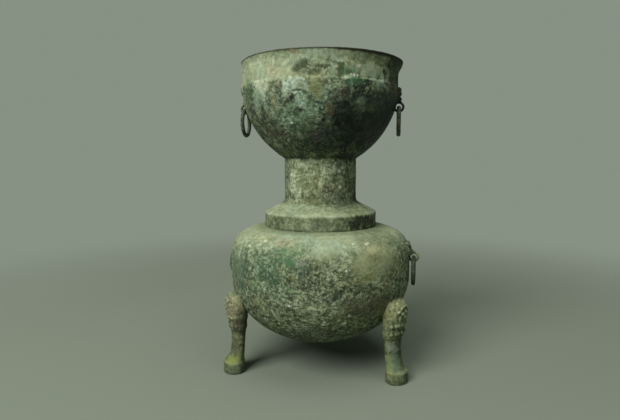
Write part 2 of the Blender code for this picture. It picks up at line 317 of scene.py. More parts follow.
def steamerOutline(s):
    wall, rimZ, lip, band = s["wall"], s["rimZ"], s["lipRadius"], s["bandRadius"]
    depth = s["bowlWidestZ"] - s["bowlFootZ"]
    drop = fittedRise(s["bowlRadius"], s["bowlPower"], s["bowlFootRadius"], depth)
    curve = quarter(
        s["bowlRadius"], s["bowlWidestZ"], -drop, s["bowlPower"], s["bowlFootRadius"], 22
    )
    curve = [point for point in curve if point[1] < s["bandFootZ"] - 0.0035]
    # the outside, from the lip down to the collar's foot
    lipOut = [
        (lip, rimZ - 0.0008),
        (lip - 0.0007, rimZ - 0.0026),
        (band + 0.0013, rimZ - 0.0058),
        (band + 0.0004, rimZ - 0.0094),
        (band, rimZ - s["lipHeight"]),
    ]
    bandOut = [(band, s["bandFootZ"] + 0.0024), (s["bowlRadius"], s["bandFootZ"] - 0.0006)]
    bowlOut = lipOut + bandOut + curve
    stemOut = [
        (s["stemRadius"], s["bowlFootZ"] - 0.0006),
        (s["stemRadius"], s["stemFootZ"]),
        (s["stemRadius"] + 0.0016, s["stemFootZ"] - 0.0038),
        (s["stemRadius"] + 0.0056, s["stemFootZ"] - 0.0066),
        (s["collarRadius"] - 0.0012, s["collarTopZ"] + 0.0003),
        (s["collarRadius"], s["collarTopZ"] - 0.0012),
        (s["collarRadius"], s["collarFootZ"]),
    ]
    # the inside follows it at the wall's thickness
    bowlIn = [(r, z) for r, z in inward(bowlOut, wall)[1:] if z > s["grateTopZ"] + 0.003]
    bowlIn = thinned(bowlIn, s["innerSpacing"] * 0.7)
    stemIn = inward(stemOut, wall)[1:-1]
    grateFoot = s["grateTopZ"] - s["grateThickness"]
    crest = [(lip - wall - 0.0004, rimZ - 0.0012), (lip - wall, rimZ), (lip - 0.0006, rimZ)]
    up = [(0, s["grateTopZ"]), (s["bowlFootRadius"] - 0.0042, s["grateTopZ"])] + bowlIn[::-1]
    down = bowlOut + stemOut
    under = [(s["collarRadius"] - wall, s["collarFootZ"])] + stemIn[::-1]
    under += [(s["stemRadius"] - wall, grateFoot), (0, grateFoot)]
    # up the inside from the grate, over the rim, down the outside and back up under the grate
    inside = filled(held(up + crest, s["cornerReach"], (1,)), s["innerSpacing"])
    first = len(bowlOut)
    sharp = (len(lipOut), len(lipOut) + 1, first, first + 4, first + 5, first + 6)
    outside = filled(held(down + under[:1], s["cornerReach"], sharp), s["outerSpacing"])
    below = filled(held(under, s["cornerReach"], (len(under) - 2,)), s["innerSpacing"])
    return inside + outside + below[1:]


def shiftLevels(piece, s):
    # the mouth isn't quite round its axis: the band goes to the left and the lip to the right
    for low, high, move, reach in s["shifts"]:
        activate(piece)
        bpy.ops.object.mode_set(mode="EDIT")
        bpy.ops.mesh.select_all(action="DESELECT")
        leaveEdit()
        z = coordinates(piece)[:, 2]
        piece.data.vertices.foreach_set("select", (z > low) & (z < high))
        bpy.ops.object.mode_set(mode="EDIT")
        bpy.ops.transform.translate(
            value=(move, 0, 0), use_proportional_edit=True,
            proportional_edit_falloff="SMOOTH", proportional_size=reach,
        )
        leaveEdit()


def middleAt(z):
    # how far the steamer's middle has gone along X at a height
    middle = 0
    for low, high, move, reach in steamer["shifts"]:
        away = np.maximum(np.maximum(low - z, z - high), 0)
        middle = middle + move * softStep(1 - away / reach, 0, 1)
    return middle


def makeSlots(s):
    # the grate's radial slots, one box shaped once and copied round
    boxes = []
    for count, middle, length in s["slots"]:
        deselectAll()
        bpy.ops.mesh.primitive_cube_add(size=1, location=(0, 0, 0))
        first = bpy.context.object
        bpy.ops.object.mode_set(mode="EDIT")
        bpy.ops.transform.resize(value=(length, s["slotWidth"], s["grateThickness"] * 4))
        bpy.ops.mesh.bevel(offset=s["slotWidth"] * 0.3, segments=2, affect="EDGES")
        middleZ = s["grateTopZ"] - s["grateThickness"] / 2
        bpy.ops.transform.translate(value=(middle, 0, middleZ))
        leaveEdit()
        for i in range(count):
            box = bpy.data.objects.new("slot", first.data.copy())
            bpy.context.scene.collection.objects.link(box)
            box.data.transform(Matrix.Rotation(2 * math.pi * i / count, 4, "Z"))
            box.data.transform(Matrix.Translation((0, axisY, 0)))
            boxes.append(box)
        bpy.data.objects.remove(first, do_unlink=True)
    deselectAll()
    for box in boxes:
        box.select_set(True)
    bpy.context.view_layer.objects.active = boxes[0]
    bpy.ops.object.join()
    return boxes[0]


holders = {
    "bowl_ring_right": {"azimuth": 0, "maskReach": 0.1076, "maskZ": 0.3765, "lean": 4},
    "bowl_ring_left": {"azimuth": 181, "maskReach": 0.1072, "maskZ": 0.3765, "lean": 4},
    "cauldron_ring_right": {"azimuth": -4, "maskReach": 0.1258, "maskZ": 0.1672, "lean": -20},
    "cauldron_ring_left": {"azimuth": 172, "maskReach": 0.1258, "maskZ": 0.1672, "lean": -20},
}
mask = {
    "width": 0.0270,
    "height": 0.0205,
    "proud": 0.0022,
    "root": 0.0080,
    "cells": 44,
    # places across and up from the middle, how far each stands out and its reach, in mm
    "features": (
        (3.5, 3.1, 1.5, 3.4), (6.9, 5.3, 1.6, 3.4), (9.9, 7.6, 2.0, 4.0), (9.6, 4.1, 1.1, 3.0),
        (4.5, 0.2, 1.9, 3.0), (4.5, 0.2, -1.0, 1.3), (0, 5.6, 1.1, 3.0), (0, 1.5, 1.4, 3.2),
        (0, -2.6, 2.0, 3.8), (0, -7.2, 2.1, 4.8), (2.4, -8.0, 1.1, 3.0), (1.4, -6.4, -0.8, 1.4),
        (5.8, -3.1, 1.0, 3.2), (2.8, 7.4, -0.9, 2.0), (7.5, 2.0, -0.9, 2.0), (3.4, -4.6, -0.8, 1.6),
    ),
}
eyeRing = {"radius": 0.0060, "wire": 0.0017, "around": 56, "sides": 16}


def makeMask(m):
    # a shield-shaped beast face: a grid, its features dragged out, then given its thickness
    deselectAll()
    bpy.ops.mesh.primitive_grid_add(x_subdivisions=m["cells"], y_subdivisions=m["cells"], size=2)
    piece = bpy.context.object
    points = coordinates(piece)
    across, up = points[:, 0].copy(), points[:, 1].copy()
    taper = 0.80 + 0.20 * up - 0.10 * up * up
    edge = np.minimum(1, 5 * (1 - np.abs(across))) * np.minimum(1, 5 * (1 - np.abs(up)))
    points[:, 1] = across * taper * m["width"] / 2
    points[:, 2] = up * m["height"] / 2 * (1 - 0.10 * across ** 2)
    points[:, 0] = m["proud"] * (0.3 + 0.7 * edge) - 0.0012 * across ** 2
    piece.data.vertices.foreach_set("co", points.ravel())
    piece.data.update()
    modelFeatures(piece, m["features"])
    editAll(piece)
    bpy.ops.mesh.extrude_region_move(TRANSFORM_OT_translate={"value": (-m["root"], 0, 0)})
    bpy.ops.transform.resize(value=(0, 1, 1), center_override=(-m["root"], 0, 0))
    bpy.ops.mesh.select_all(action="SELECT")
    bpy.ops.mesh.normals_make_consistent(inside=False)
    leaveEdit()
    return piece


def makeTorus(name, radius, wire, around, sides, turn):
    deselectAll()
    bpy.ops.mesh.primitive_torus_add(
        major_radius=radius, minor_radius=wire, major_segments=around, minor_segments=sides,
    )
    piece = bpy.context.object
    piece.name = name
    piece.data.transform(Matrix.Rotation(math.radians(90), 4, turn))
    return piece


def copyOf(piece, name):
    copy = bpy.data.objects.new(name, piece.data.copy())
    bpy.context.scene.collection.objects.link(copy)
    return copy


def castOn(vessel, addition, core):
    # what would reach through the wall is cut off, and the rest becomes one with it
    combine(addition, copyOf(core, "core"), "DIFFERENCE")
    combine(vessel, addition, "UNION")


def addHolder(vessel, core, ringName, maskPiece):
    h, joint = holders[ringName], jointOf[ringName]
    face = copyOf(maskPiece, "mask")
    onWall(face, h["azimuth"], h["maskReach"], h["maskZ"], h["lean"])
    castOn(vessel, face, core)
    eye = makeTorus("eye", **eyeRing, turn="X")
    hingeX, hingeY, hingeZ = joint["pos_m"]
    eyeZ = hingeZ + eyeRing["radius"] - eyeRing["wire"] - ringHandle["wire"] - ringHandle["play"]
    onWall(eye, h["azimuth"], math.hypot(hingeX, hingeY - axisY), eyeZ)
    castOn(vessel, eye, core)


cauldron = {
    "wall": 0.0026,
    "bellyRadius": (shoulderHigh.y - shoulderLow.y) / 2,
    "widestZ": shoulderLow.z,
    "shoulderPower": 4.7,
    "bellyDrop": 0.0965,
    "neckRadius": 0.0660,
    "neckTopZ": shoulderHigh.z,
    "seatRadius": 0.0787,
    "seatZ": bowlLow.z - 0.0003,
    "bossRadius": 0.0190,
    "bossFootZ": 0.0268,
    "stepsRound": 72,
    "outerSpacing": 0.0066,
    "innerSpacing": 0.0160,
    "cornerReach": 0.0006,
    "legAngles": (-30, 90, 210),
    "coreReach": (0.185, 0.040),
}
leg = {
    "sides": 20,
    "backFlattening": 0.82,
    # height, how far the middle stands from the axis, half depth outward, half width
    "sections": (
        (0.0000, 0.1266, 0.0152, 0.0160),
        (0.0006, 0.1266, 0.0159, 0.0168),
        (0.0030, 0.1266, 0.0161, 0.0170),
        (0.0080, 0.1265, 0.0160, 0.0170),
        (0.0140, 0.1264, 0.0159, 0.0169),
        (0.0158, 0.1263, 0.0156, 0.0168),
        (0.0166, 0.1260, 0.0150, 0.0164),
        (0.0182, 0.1251, 0.0134, 0.0158),
        (0.0205, 0.1239, 0.0118, 0.0153),
        (0.0250, 0.1226, 0.0105, 0.0151),
        (0.0330, 0.1214, 0.0097, 0.0153),
        (0.0420, 0.1208, 0.0095, 0.0156),
        (0.0500, 0.1205, 0.0099, 0.0161),
        (0.0560, 0.1204, 0.0105, 0.0166),
        (0.0590, 0.1205, 0.0110, 0.0168),
        (0.0608, 0.1207, 0.0126, 0.0184),
        (0.0640, 0.1208, 0.0136, 0.0192),
        (0.0680, 0.1209, 0.0138, 0.0194),
        (0.0706, 0.1209, 0.0132, 0.0187),
        (0.0722, 0.1210, 0.0135, 0.0188),
        (0.0750, 0.1212, 0.0150, 0.0200),
        (0.0790, 0.1213, 0.0156, 0.0202),
        (0.0815, 0.1214, 0.0153, 0.0194),
        (0.0830, 0.1215, 0.0158, 0.0192),
        (0.0880, 0.1217, 0.0168, 0.0194),
        (0.0950, 0.1219, 0.0172, 0.0190),
        (0.1010, 0.1219, 0.0170, 0.0182),
        (0.1056, 0.1217, 0.0158, 0.0168),
        (0.1084, 0.1213, 0.0134, 0.0142),
        (0.1100, 0.1207, 0.0096, 0.0100),
        (0.1108, 0.1202, 0.0052, 0.0054),
    ),
    # places across and up, how far each stands out and its reach, in mm
    "features": (
        (3.5, 104, 1.4, 4.0), (8.0, 101, 1.7, 4.0), (11.5, 96, 1.7, 4.0), (6.5, 98, -1.0, 1.8),
        (5.5, 93, 1.8, 3.8), (5.5, 93, -1.2, 1.5), (0, 97, 1.4, 4.0), (0, 90, 1.8, 5.0),
        (2.6, 87.5, -1.0, 1.8), (9.5, 88, 1.3, 3.6), (9.5, 88, -1.0, 1.4), (0, 84, -1.2, 2.6),
        (5.0, 83.5, -1.2, 2.6), (0, 77, 1.5, 3.8), (4.6, 77.5, 1.3, 3.4), (9.2, 77, 1.5, 3.6),
        (13.8, 77.5, 1.5, 3.6), (17.6, 77, 1.5, 3.6), (0, 72, -0.9, 2.4), (7.0, 72, -0.9, 2.4),
        (14.0, 72, -0.9, 2.4), (2.4, 66.5, 1.3, 3.4), (7.2, 66, 1.4, 3.4), (12.0, 66.5, 1.4, 3.4),
        (16.6, 66, 1.3, 3.4), (4.0, 45, 0.5, 6.0), (0, 30, 0.5, 6.0),
    ),
}


def cauldronOutline(c):
    wall, radius, widest = c["wall"], c["bellyRadius"], c["widestZ"]
    rise = fittedRise(radius, c["shoulderPower"], c["seatRadius"], c["seatZ"] - widest)
    shoulder = quarter(radius, widest, rise, c["shoulderPower"], c["seatRadius"], 18)
    belly = quarter(radius, widest, -c["bellyDrop"], 2, c["bossRadius"] + 0.0015, 22)
    neck = [
        (c["neckRadius"], c["neckTopZ"]),
        (c["neckRadius"], c["seatZ"] + 0.0030),
        (c["neckRadius"] + 0.0040, c["seatZ"] + 0.0004),
    ]
    boss = [
        (c["bossRadius"], c["bossFootZ"] + 0.0030),
        (c["bossRadius"] - 0.0020, c["bossFootZ"]),
    ]
    outer = neck + shoulder[::-1] + belly[1:] + boss
    lowest = widest - c["bellyDrop"] + wall
    inner = [
        (r, z) for r, z in inward(outer, wall)[1:] if z > lowest + 0.001 and r > c["bossRadius"]
    ]
    inner = thinned(inner, c["innerSpacing"] * 0.7)
    up = [(0, lowest), (c["bossRadius"] * 0.5, lowest)] + inner[::-1]
    up.append((c["neckRadius"] - wall, c["neckTopZ"]))
    inside = filled(held(up + outer[:1], c["cornerReach"], (len(up) - 1,)), c["innerSpacing"])
    down = outer + [(0, c["bossFootZ"])]
    outside = filled(held(down, c["cornerReach"], (len(down) - 2,)), c["outerSpacing"])
    return inside[:-1] + outside


def makeLeg(g):
    # a disc extruded up through the leg's sections, flatter behind
    deselectAll()
    sections = g["sections"]
    footZ, middle, depth, width = sections[0]
    bpy.ops.mesh.primitive_circle_add(
        vertices=g["sides"], radius=1, fill_type="NGON", location=(0, 0, 0)
    )
    piece = bpy.context.object
    piece.name = "leg"
    points = coordinates(piece)
    points[:, 0] = np.where(points[:, 0] < 0, points[:, 0] * g["backFlattening"], points[:, 0])
    piece.data.vertices.foreach_set("co", points.ravel())
    piece.data.update()
    editAll(piece)
    bpy.ops.transform.resize(value=(depth, width, 1), center_override=(0, 0, 0))
    bpy.ops.transform.translate(value=(middle, 0, footZ))
    for before, after in zip(sections, sections[1:]):
        move = (after[1] - before[1], 0, after[0] - before[0])
        bpy.ops.mesh.extrude_region_move(TRANSFORM_OT_translate={"value": move})
        ratio = (after[2] / before[2], after[3] / before[3], 1)
        bpy.ops.transform.resize(value=ratio, center_override=(after[1], 0, after[0]))
    for end in (sections[-1], sections[0]):
        bpy.ops.mesh.select_all(action="DESELECT")
        leaveEdit()
        for face in piece.data.polygons:
            face.select = len(face.vertices) > 4 and abs(face.center.z - end[0]) < 0.0005
        bpy.ops.object.mode_set(mode="EDIT")
        bpy.ops.mesh.select_mode(type="FACE")
        for share in (0.12, 0.35, 0.35):
            bpy.ops.mesh.inset(thickness=share * min(end[2], end[3]), depth=0)
        bpy.ops.mesh.select_mode(type="VERT")
    bpy.ops.mesh.select_all(action="SELECT")
    bpy.ops.mesh.remove_doubles(threshold=mergeDistance)
    bpy.ops.mesh.normals_make_consistent(inside=False)
    leaveEdit()
    subdivide(piece, 2)
    return piece


ringHandle = {
    "radius": 0.0180,
    "wire": 0.0028,
    "play": 0.0003,
    "around": 112,
    "sides": 20,
    "thinner": {"bowl_ring_left": 0.95},
    "smoothAngle": 60,
    # label, size of the noise and its height
    "layers": ((None, 0.0090, 0.0005), ("crust", 0.0022, 0.0003)),
}


def makeRing(name, r):
    wire = r["wire"] * r["thinner"].get(name, 1)
    ring = makeTorus(name + "_piece", r["radius"], wire, r["around"], r["sides"], "Y")
    ring.data.transform(Matrix.Translation((0, 0, -r["radius"])))
    hingeX, hingeY, hingeZ = jointOf[name]["pos_m"]
    h = holders[name]
    onWall(ring, h["azimuth"], math.hypot(hingeX, hingeY - axisY), hingeZ)
    for label, size, height in r["layers"]:
        relief(ring, label, cloudTexture("ringRelief", size), height, 0.5, "")
    smooth(ring, r["smoothAngle"])
    return ring


def fromTop(path):
    # an outline from its highest point on, down the outside
    return path[max(range(len(path)), key=lambda i: (path[i][1], path[i][0])):]


def outerSide(path):
    # the outside of an outline, down to its lowest point, as a radius reader
    outside = fromTop(path)
    foot = min(range(len(outside)), key=lambda i: outside[i][1])
    radii, heights = zip(*outside[foot::-1])
    return lambda z: np.interp(z, heights, radii)


coreMiddle = 0.010        # nearer the axis than this, a core has no outline of its own
coreSteps = 96


def makeCore(name, outline, wall, top, foot):
    # a solid that ends half way through the wall, to cut back what is cast on from outside
    halfWay = inward(fromTop(outline), wall / 2)
    side = [(r, z) for r, z in halfWay if foot < z < top and r > coreMiddle]
    return turnOutline(name, [(0, top), (side[0][0], top), *side, (0, side[-1][1])], coreSteps)


steamerRelief = {
    "wall": steamer["wall"],
    "inside": 0.45,
    "seatRadius": 1.0,
    # heights and how strongly the surface is roughened there
    "heights": (
        (0.1975, 0.0), (0.2010, 0.5), (0.2150, 0.6), (0.2190, 0.35), (0.2300, 0.5),
        (0.2400, 0.7), (0.2860, 0.7), (0.2950, 0.6), (0.3200, 0.9), (0.3780, 1.0),
        (0.3860, 0.7), (0.3900, 0.55), (0.4100, 0.55), (0.4200, 0.8),
    ),
    "layers": (
        # label, size of the noise, its depth, height, middle, ramp
        (None, 0.0160, 2, 0.0006, 0.5, None),
        ("crust", 0.0042, 2, 0.0005, 0.4, ((0.36, 0), (0.62, 1))),
        (None, 0.0024, 1, 0.0004, 0.5, None),
        ("pits", 0.0056, 2, 0.0007, 1.0, ((0.0, 0), (0.30, 0), (0.38, 1))),
    ),
    "warp": 0.0010,
    "triangles": 192000,
}
cauldronRelief = {
    "wall": cauldron["wall"],
    "inside": 0.45,
    "seatRadius": cauldron["seatRadius"],
    "heights": (
        (0.0000, 0.4), (0.0300, 0.4), (0.0400, 0.8), (0.1500, 1.1), (0.1700, 0.9),
        (0.1850, 0.6), (0.1950, 0.4), (0.2140, 0.3),
    ),
    "layers": (
        (None, 0.0160, 2, 0.0007, 0.5, None),
        ("crust", 0.0042, 2, 0.0006, 0.4, ((0.36, 0), (0.62, 1))),
        (None, 0.0024, 1, 0.0004, 0.5, None),
        ("pits", 0.0056, 2, 0.0008, 1.0, ((0.0, 0), (0.31, 0), (0.39, 1))),
    ),
    "warp": 0.0010,
    "triangles": 192000,
}
warpSizes = {"X": 0.060, "Y": 0.072}
smoothAngle = 50
hollowRounds = 3
hollowDepth = 0.00035
seatZ = cauldron["seatZ"]


def placeOn(azimuth, z, radius):
    turn = math.radians(azimuth)
    return (radius * math.cos(turn), axisY + radius * math.sin(turn), z)


def coarseness(points, radiusAt, skin):
    # where the skin is coarse, from its table of heights and its areas
    coarse = np.interp(points[:, 2], *zip(*skin["coarse"]))
    for azimuth, z, across, up, _, _, change, _ in skin["areas"]:
        away = (points - placeOn(azimuth, z, radiusAt(z))) / (across, across, up)
        coarse += change * (1 - softStep(np.linalg.norm(away, axis=1), 0.5, 1.3))
    return np.clip(coarse, 0.05, 1.2)


def reliefWeights(piece, radiusAt, s):
    points = coordinates(piece)
    z = points[:, 2]
    r = np.hypot(points[:, 0] - middleAt(z), points[:, 1] - axisY)
    wallRadius = radiusAt(z)
    outer = r > wallRadius - 0.6 * s["wall"]
    weights = np.where(outer, 1.0, s["inside"])
    weights *= np.interp(z, *zip(*s["heights"])) * softStep(z, 0.0010, 0.0050)
    seat = (r < s["seatRadius"] + 0.0040) & (np.abs(z - seatZ) < 0.0030)
    weights = np.where(seat & (s["seatRadius"] < 0.5), 0, weights)
    steady = np.ones(len(points))
    for joint in jointOf.values():
        away = np.linalg.norm(points - np.array(joint["pos_m"]), axis=1)
        weights *= softStep(away, 0.0070, 0.0130)
        steady *= softStep(away, 0.0250, 0.0600)
    steady *= softStep(np.abs(z - seatZ), 0.0040, 0.0400) * softStep(z, 0.0400, 0.0900)
    cast = softStep(r - wallRadius, 0.0006, 0.0022) * outer * (z < 0.400)
    return weights, steady, cast, outer


def roughen(piece, radiusAt, s, skin):
    weights, steady, cast, outer = reliefWeights(piece, radiusAt, s)
    coarse = coarseness(coordinates(piece), radiusAt, skin)
    coarse = np.where(cast > 0.5, skin["castCoarse"], coarse)
    weights *= 0.25 + 0.75 * coarse
    keepLayer(piece, "coarse", coarse)
    keepLayer(piece, "cast", cast)
    keepLayer(piece, "outer", outer)
    group = paintGroup(piece, "steady", steady)
    for axis, size in warpSizes.items():
        texture = cloudTexture(piece.name + "Warp" + axis, size, 1)
        relief(piece, None, texture, s["warp"] * 2, 0.5, group, axis)
    group = paintGroup(piece, "roughness", weights)
    for i, (label, size, depth, height, middle, ramp) in enumerate(s["layers"]):
        texture = cloudTexture(f"{piece.name}Relief{i}", size, depth, ramp=ramp)
        relief(piece, label, texture, height, middle, group)
    keepHollows(piece, hollowRounds, hollowDepth)
    lighten(piece, s["triangles"])


def triangleCount(piece):
    return sum(len(face.vertices) - 2 for face in piece.data.polygons)


def lighten(piece, most):
    # flat stretches are given fewer faces
    share = most / triangleCount(piece)
    if share < 1:
        useModifier(piece, "DECIMATE", decimate_type="COLLAPSE", ratio=share)
    # a loose flap that this leaves is taken off
    editAll(piece)
    bpy.ops.mesh.select_mode(type="EDGE")
    bpy.ops.mesh.select_all(action="DESELECT")
    bpy.ops.mesh.select_non_manifold(
        use_multi_face=False, use_non_contiguous=False, use_verts=False
    )
    bpy.ops.mesh.delete(type="EDGE")
    bpy.ops.mesh.select_mode(type="VERT")
    leaveEdit()


def keepHollows(piece, rounds, depth):
    # how far each point lies below the middle of its neighbours
    points = coordinates(piece)
    ends = np.empty(len(piece.data.edges) * 2, int)
    piece.data.edges.foreach_get("vertices", ends)
    start, end = ends[::2], ends[1::2]
    count = np.bincount(ends, minlength=len(points))
    level = points.copy()
    for _ in range(rounds):
        for axis in range(3):
            total = np.bincount(start, level[end, axis], len(points))
            total += np.bincount(end, level[start, axis], len(points))
            points[:, axis] = total / count
        level, points = points.copy(), level
    lying = ((level - coordinates(piece)) * normalsOf(piece)).sum(axis=1)
    keepLayer(piece, "hollow", np.clip(lying / depth, -1, 1))


def addNode(tree, kind, inputs=None, **settings):
    node = tree.nodes.new(kind)
    for key, value in settings.items():
        setattr(node, key, value)
    for key, value in (inputs or {}).items():
        if isinstance(value, bpy.types.NodeSocket):
            tree.links.new(value, node.inputs[key])
        else:
            node.inputs[key].default_value = value
    return node


def calculate(tree, operation, *values, clamp=False):
    return addNode(
        tree, "ShaderNodeMath", dict(enumerate(values)), operation=operation, use_clamp=clamp
    ).outputs[0]


def vectorMath(tree, operation, a, b):
    return addNode(tree, "ShaderNodeVectorMath", {0: a, 1: b}, operation=operation).outputs[0]


def smoothStep(tree, value, low, high):
    return addNode(
        tree, "ShaderNodeMapRange",
        {"Value": value, "From Min": low, "From Max": high}, interpolation_type="SMOOTHSTEP",
    ).outputs["Result"]


def noiseOf(tree, vector, scale, detail, rough=0.55, distortion=0.0):
    return addNode(
        tree, "ShaderNodeTexNoise",
        {
            "Vector": vector, "Scale": scale, "Detail": detail,
            "Roughness": rough, "Distortion": distortion,
        },
    ).outputs["Fac"]


def mixColour(tree, amount, below, above, blend="MIX"):
    node = addNode(tree, "ShaderNodeMix", data_type="RGBA", blend_type=blend)
    for key, value in ((0, amount), (6, below), (7, above)):
        if isinstance(value, bpy.types.NodeSocket):
            tree.links.new(value, node.inputs[key])
        else:
            node.inputs[key].default_value = value if key == 0 else (*value, 1)
    return node.outputs[2]


def layerOf(tree, label):
    return addNode(tree, "ShaderNodeAttribute", attribute_name=label).outputs["Fac"]


def useGroup(tree, group, **inputs):
    # a group's inputs are given by their names
    node = addNode(tree, "ShaderNodeGroup", node_tree=group)
    for label, value in inputs.items():
        if isinstance(value, bpy.types.NodeSocket):
            tree.links.new(value, node.inputs[label])
        else:
            node.inputs[label].default_value = value
    return node.outputs


def newGroup(name, inputs, outputs):
    group = bpy.data.node_groups.new(name, "ShaderNodeTree")
    for label, kind, value in inputs:
        socket = group.interface.new_socket(label, in_out="INPUT", socket_type=kind)
        if value is not None:
            socket.default_value = value
    for label, kind in outputs:
        group.interface.new_socket(label, in_out="OUTPUT", socket_type=kind)
    start = group.nodes.new("NodeGroupInput")
    end = group.nodes.new("NodeGroupOutput")
    return group, start.outputs, end.inputs


def stainGroup():
    # a stain with a torn edge round a place on the surface
    group, given, out = newGroup(
        "stain",
        [
            ("Vector", "NodeSocketVector", None), ("Torn", "NodeSocketFloat", 0.0),
            ("Centre", "NodeSocketVector", None), ("Reach", "NodeSocketVector", None),
            ("Ragged", "NodeSocketFloat", 0.5), ("Soft", "NodeSocketFloat", 0.3),
        ],
        [("Mask", "NodeSocketFloat")],
    )
    away = vectorMath(group, "SUBTRACT", given["Vector"], given["Centre"])
    scaled = vectorMath(group, "DIVIDE", away, given["Reach"])
    distance = addNode(group, "ShaderNodeVectorMath", {0: scaled}, operation="LENGTH")
    edge = calculate(
        group, "MULTIPLY_ADD", given["Torn"], given["Ragged"], distance.outputs["Value"]
    )
    inner = calculate(group, "SUBTRACT", 1.0, given["Soft"])
    outer = calculate(group, "ADD", 1.0, given["Soft"])
    group.links.new(smoothStep(group, edge, outer, inner), out["Mask"])
    return group


def specksGroup():
    # scattered specks, from fine grit to flakes
    group, given, out = newGroup(
        "specks",
        [
            ("Vector", "NodeSocketVector", None), ("Scale", "NodeSocketFloat", 400),
            ("Amount", "NodeSocketFloat", 0.3), ("Soft", "NodeSocketFloat", 0.06),
        ],
        [("Mask", "NodeSocketFloat")],
    )
    noise = noiseOf(group, given["Vector"], given["Scale"], 2.0, 0.6)
    low = calculate(group, "MULTIPLY_ADD", given["Amount"], -0.5, 0.86)
    high = calculate(group, "ADD", low, given["Soft"])
    group.links.new(smoothStep(group, noise, low, high), out["Mask"])
    return group


def mottleGroup():
    # patches at three sizes, round zero, with edges as crisp as Edge is small
    group, given, out = newGroup(
        "mottle",
        [
            ("Vector", "NodeSocketVector", None), ("Scale", "NodeSocketFloat", 40),
            ("Coarse", "NodeSocketFloat", 1.0), ("Middle", "NodeSocketFloat", 0.7),
            ("Fine", "NodeSocketFloat", 0.5), ("Edge", "NodeSocketFloat", 0.12),
        ],
        [("Tone", "NodeSocketFloat")],
    )
    low = calculate(group, "SUBTRACT", 0.5, given["Edge"])
    high = calculate(group, "ADD", 0.5, given["Edge"])
    total = 0.0
    for label, times, detail, distortion in (
        ("Coarse", 1.0, 4.0, 0.6), ("Middle", 3.1, 3.0, 0.5), ("Fine", 8.0, 2.0, 0.3)
    ):
        scale = calculate(group, "MULTIPLY", given["Scale"], times)
        noise = noiseOf(group, given["Vector"], scale, detail, 0.6, distortion)
        swing = calculate(group, "SUBTRACT", smoothStep(group, noise, low, high), 0.5)
        total = calculate(group, "MULTIPLY_ADD", swing, given[label], total)
    group.links.new(total, out["Tone"])
    return group


def grainGroup():
    # the corroded skin's own roughness, as a height
    group, given, out = newGroup(
        "skinGrain",
        [("Vector", "NodeSocketVector", None), ("Scale", "NodeSocketFloat", 600)],
        [("Height", "NodeSocketFloat")],
    )
    noise = noiseOf(group, given["Vector"], given["Scale"], 4.0, 0.7)
    cells = addNode(
        group, "ShaderNodeTexVoronoi", {"Vector": given["Vector"], "Scale": given["Scale"]}
    ).outputs["Distance"]
    pits = smoothStep(group, cells, 0.0, 0.35)
    height = calculate(group, "MULTIPLY", noise, calculate(group, "ADD", pits, 0.6))
    group.links.new(height, out["Height"])
    return group


# the patina's colour from its darkest to its palest tone
patinaColours = (
    (0.00, (0.003, 0.005, 0.003)),
    (0.20, (0.020, 0.028, 0.017)),
    (0.38, (0.062, 0.079, 0.043)),
    (0.54, (0.140, 0.176, 0.096)),
    (0.70, (0.260, 0.308, 0.188)),
    (0.85, (0.390, 0.450, 0.302)),
    (1.00, (0.600, 0.650, 0.485)),
)
coolTint = (0.88, 1.00, 1.12)
warmTint = (1.12, 1.00, 0.84)


def rampOf(tree, value, stops):
    ramp = tree.nodes.new("ShaderNodeValToRGB")
    elements = ramp.color_ramp.elements
    while len(elements) < len(stops):
        elements.new(0.5)
    for element, (place, colour) in zip(elements, stops):
        element.position = place
        element.color = (*colour, 1)
    tree.links.new(value, ramp.inputs["Fac"])
    return ramp.outputs["Color"]


def patinaGroup():
    # the colour of a tone, warmer or cooler
    group, given, out = newGroup(
        "patinaTones",
        [("Tone", "NodeSocketFloat", 0.5), ("Warmth", "NodeSocketFloat", 0.5)],
        [("Color", "NodeSocketColor")],
    )
    colour = rampOf(group, given["Tone"], patinaColours)
    tint = mixColour(group, given["Warmth"], coolTint, warmTint)
    group.links.new(mixColour(group, 1.0, colour, tint, "MULTIPLY"), out["Color"])
    return group


def byHeight(tree, z, table):
    # a value that follows the height, from a table of heights and values from 0 to 1
    low, high = table[0][0], table[-1][0]
    share = addNode(
        tree, "ShaderNodeMapRange", {"Value": z, "From Min": low, "From Max": high}
    ).outputs["Result"]
    stops = [((height - low) / (high - low), (value,) * 3) for height, value in table]
    return rampOf(tree, share, stops)


def startMaterial(name):
    material = bpy.data.materials.new(name)
    material.use_nodes = True
    tree = material.node_tree
    shader = tree.nodes["Principled BSDF"]
    vector = tree.nodes.new("ShaderNodeTexCoord").outputs["Object"]
    return material, tree, shader, vector


def finish(piece, material):
    piece.data.materials.clear()
    piece.data.materials.append(material)


def stainMask(tree, groups, vector, torn, azimuth, z, radius, across, up, ragged):
    return useGroup(
        tree, groups["stain"], Vector=vector, Torn=torn, Centre=placeOn(azimuth, z, radius),
        Reach=(across, across, up), Ragged=ragged, Soft=0.15 + 0.35 * ragged,
    )["Mask"]


malachite = (0.062, 0.155, 0.068)
brightMalachite = (0.120, 0.250, 0.140)
palePowder = (0.400, 0.430, 0.330)
paleFlake = (0.560, 0.580, 0.470)
pinkEarth = (0.330, 0.250, 0.175)
brownEarth = (0.080, 0.072, 0.045)
tealGrey = (0.130, 0.190, 0.140)
darkEarth = (0.040, 0.036, 0.022)
mossDark = (0.060, 0.078, 0.032)
oliveGold = (0.200, 0.205, 0.065)
goldGreen = (0.260, 0.300, 0.060)
ochre = (0.250, 0.215, 0.100)
plum = (0.055, 0.048, 0.055)
rust = (0.170, 0.095, 0.050)
lilacGrey = (0.260, 0.280, 0.245)

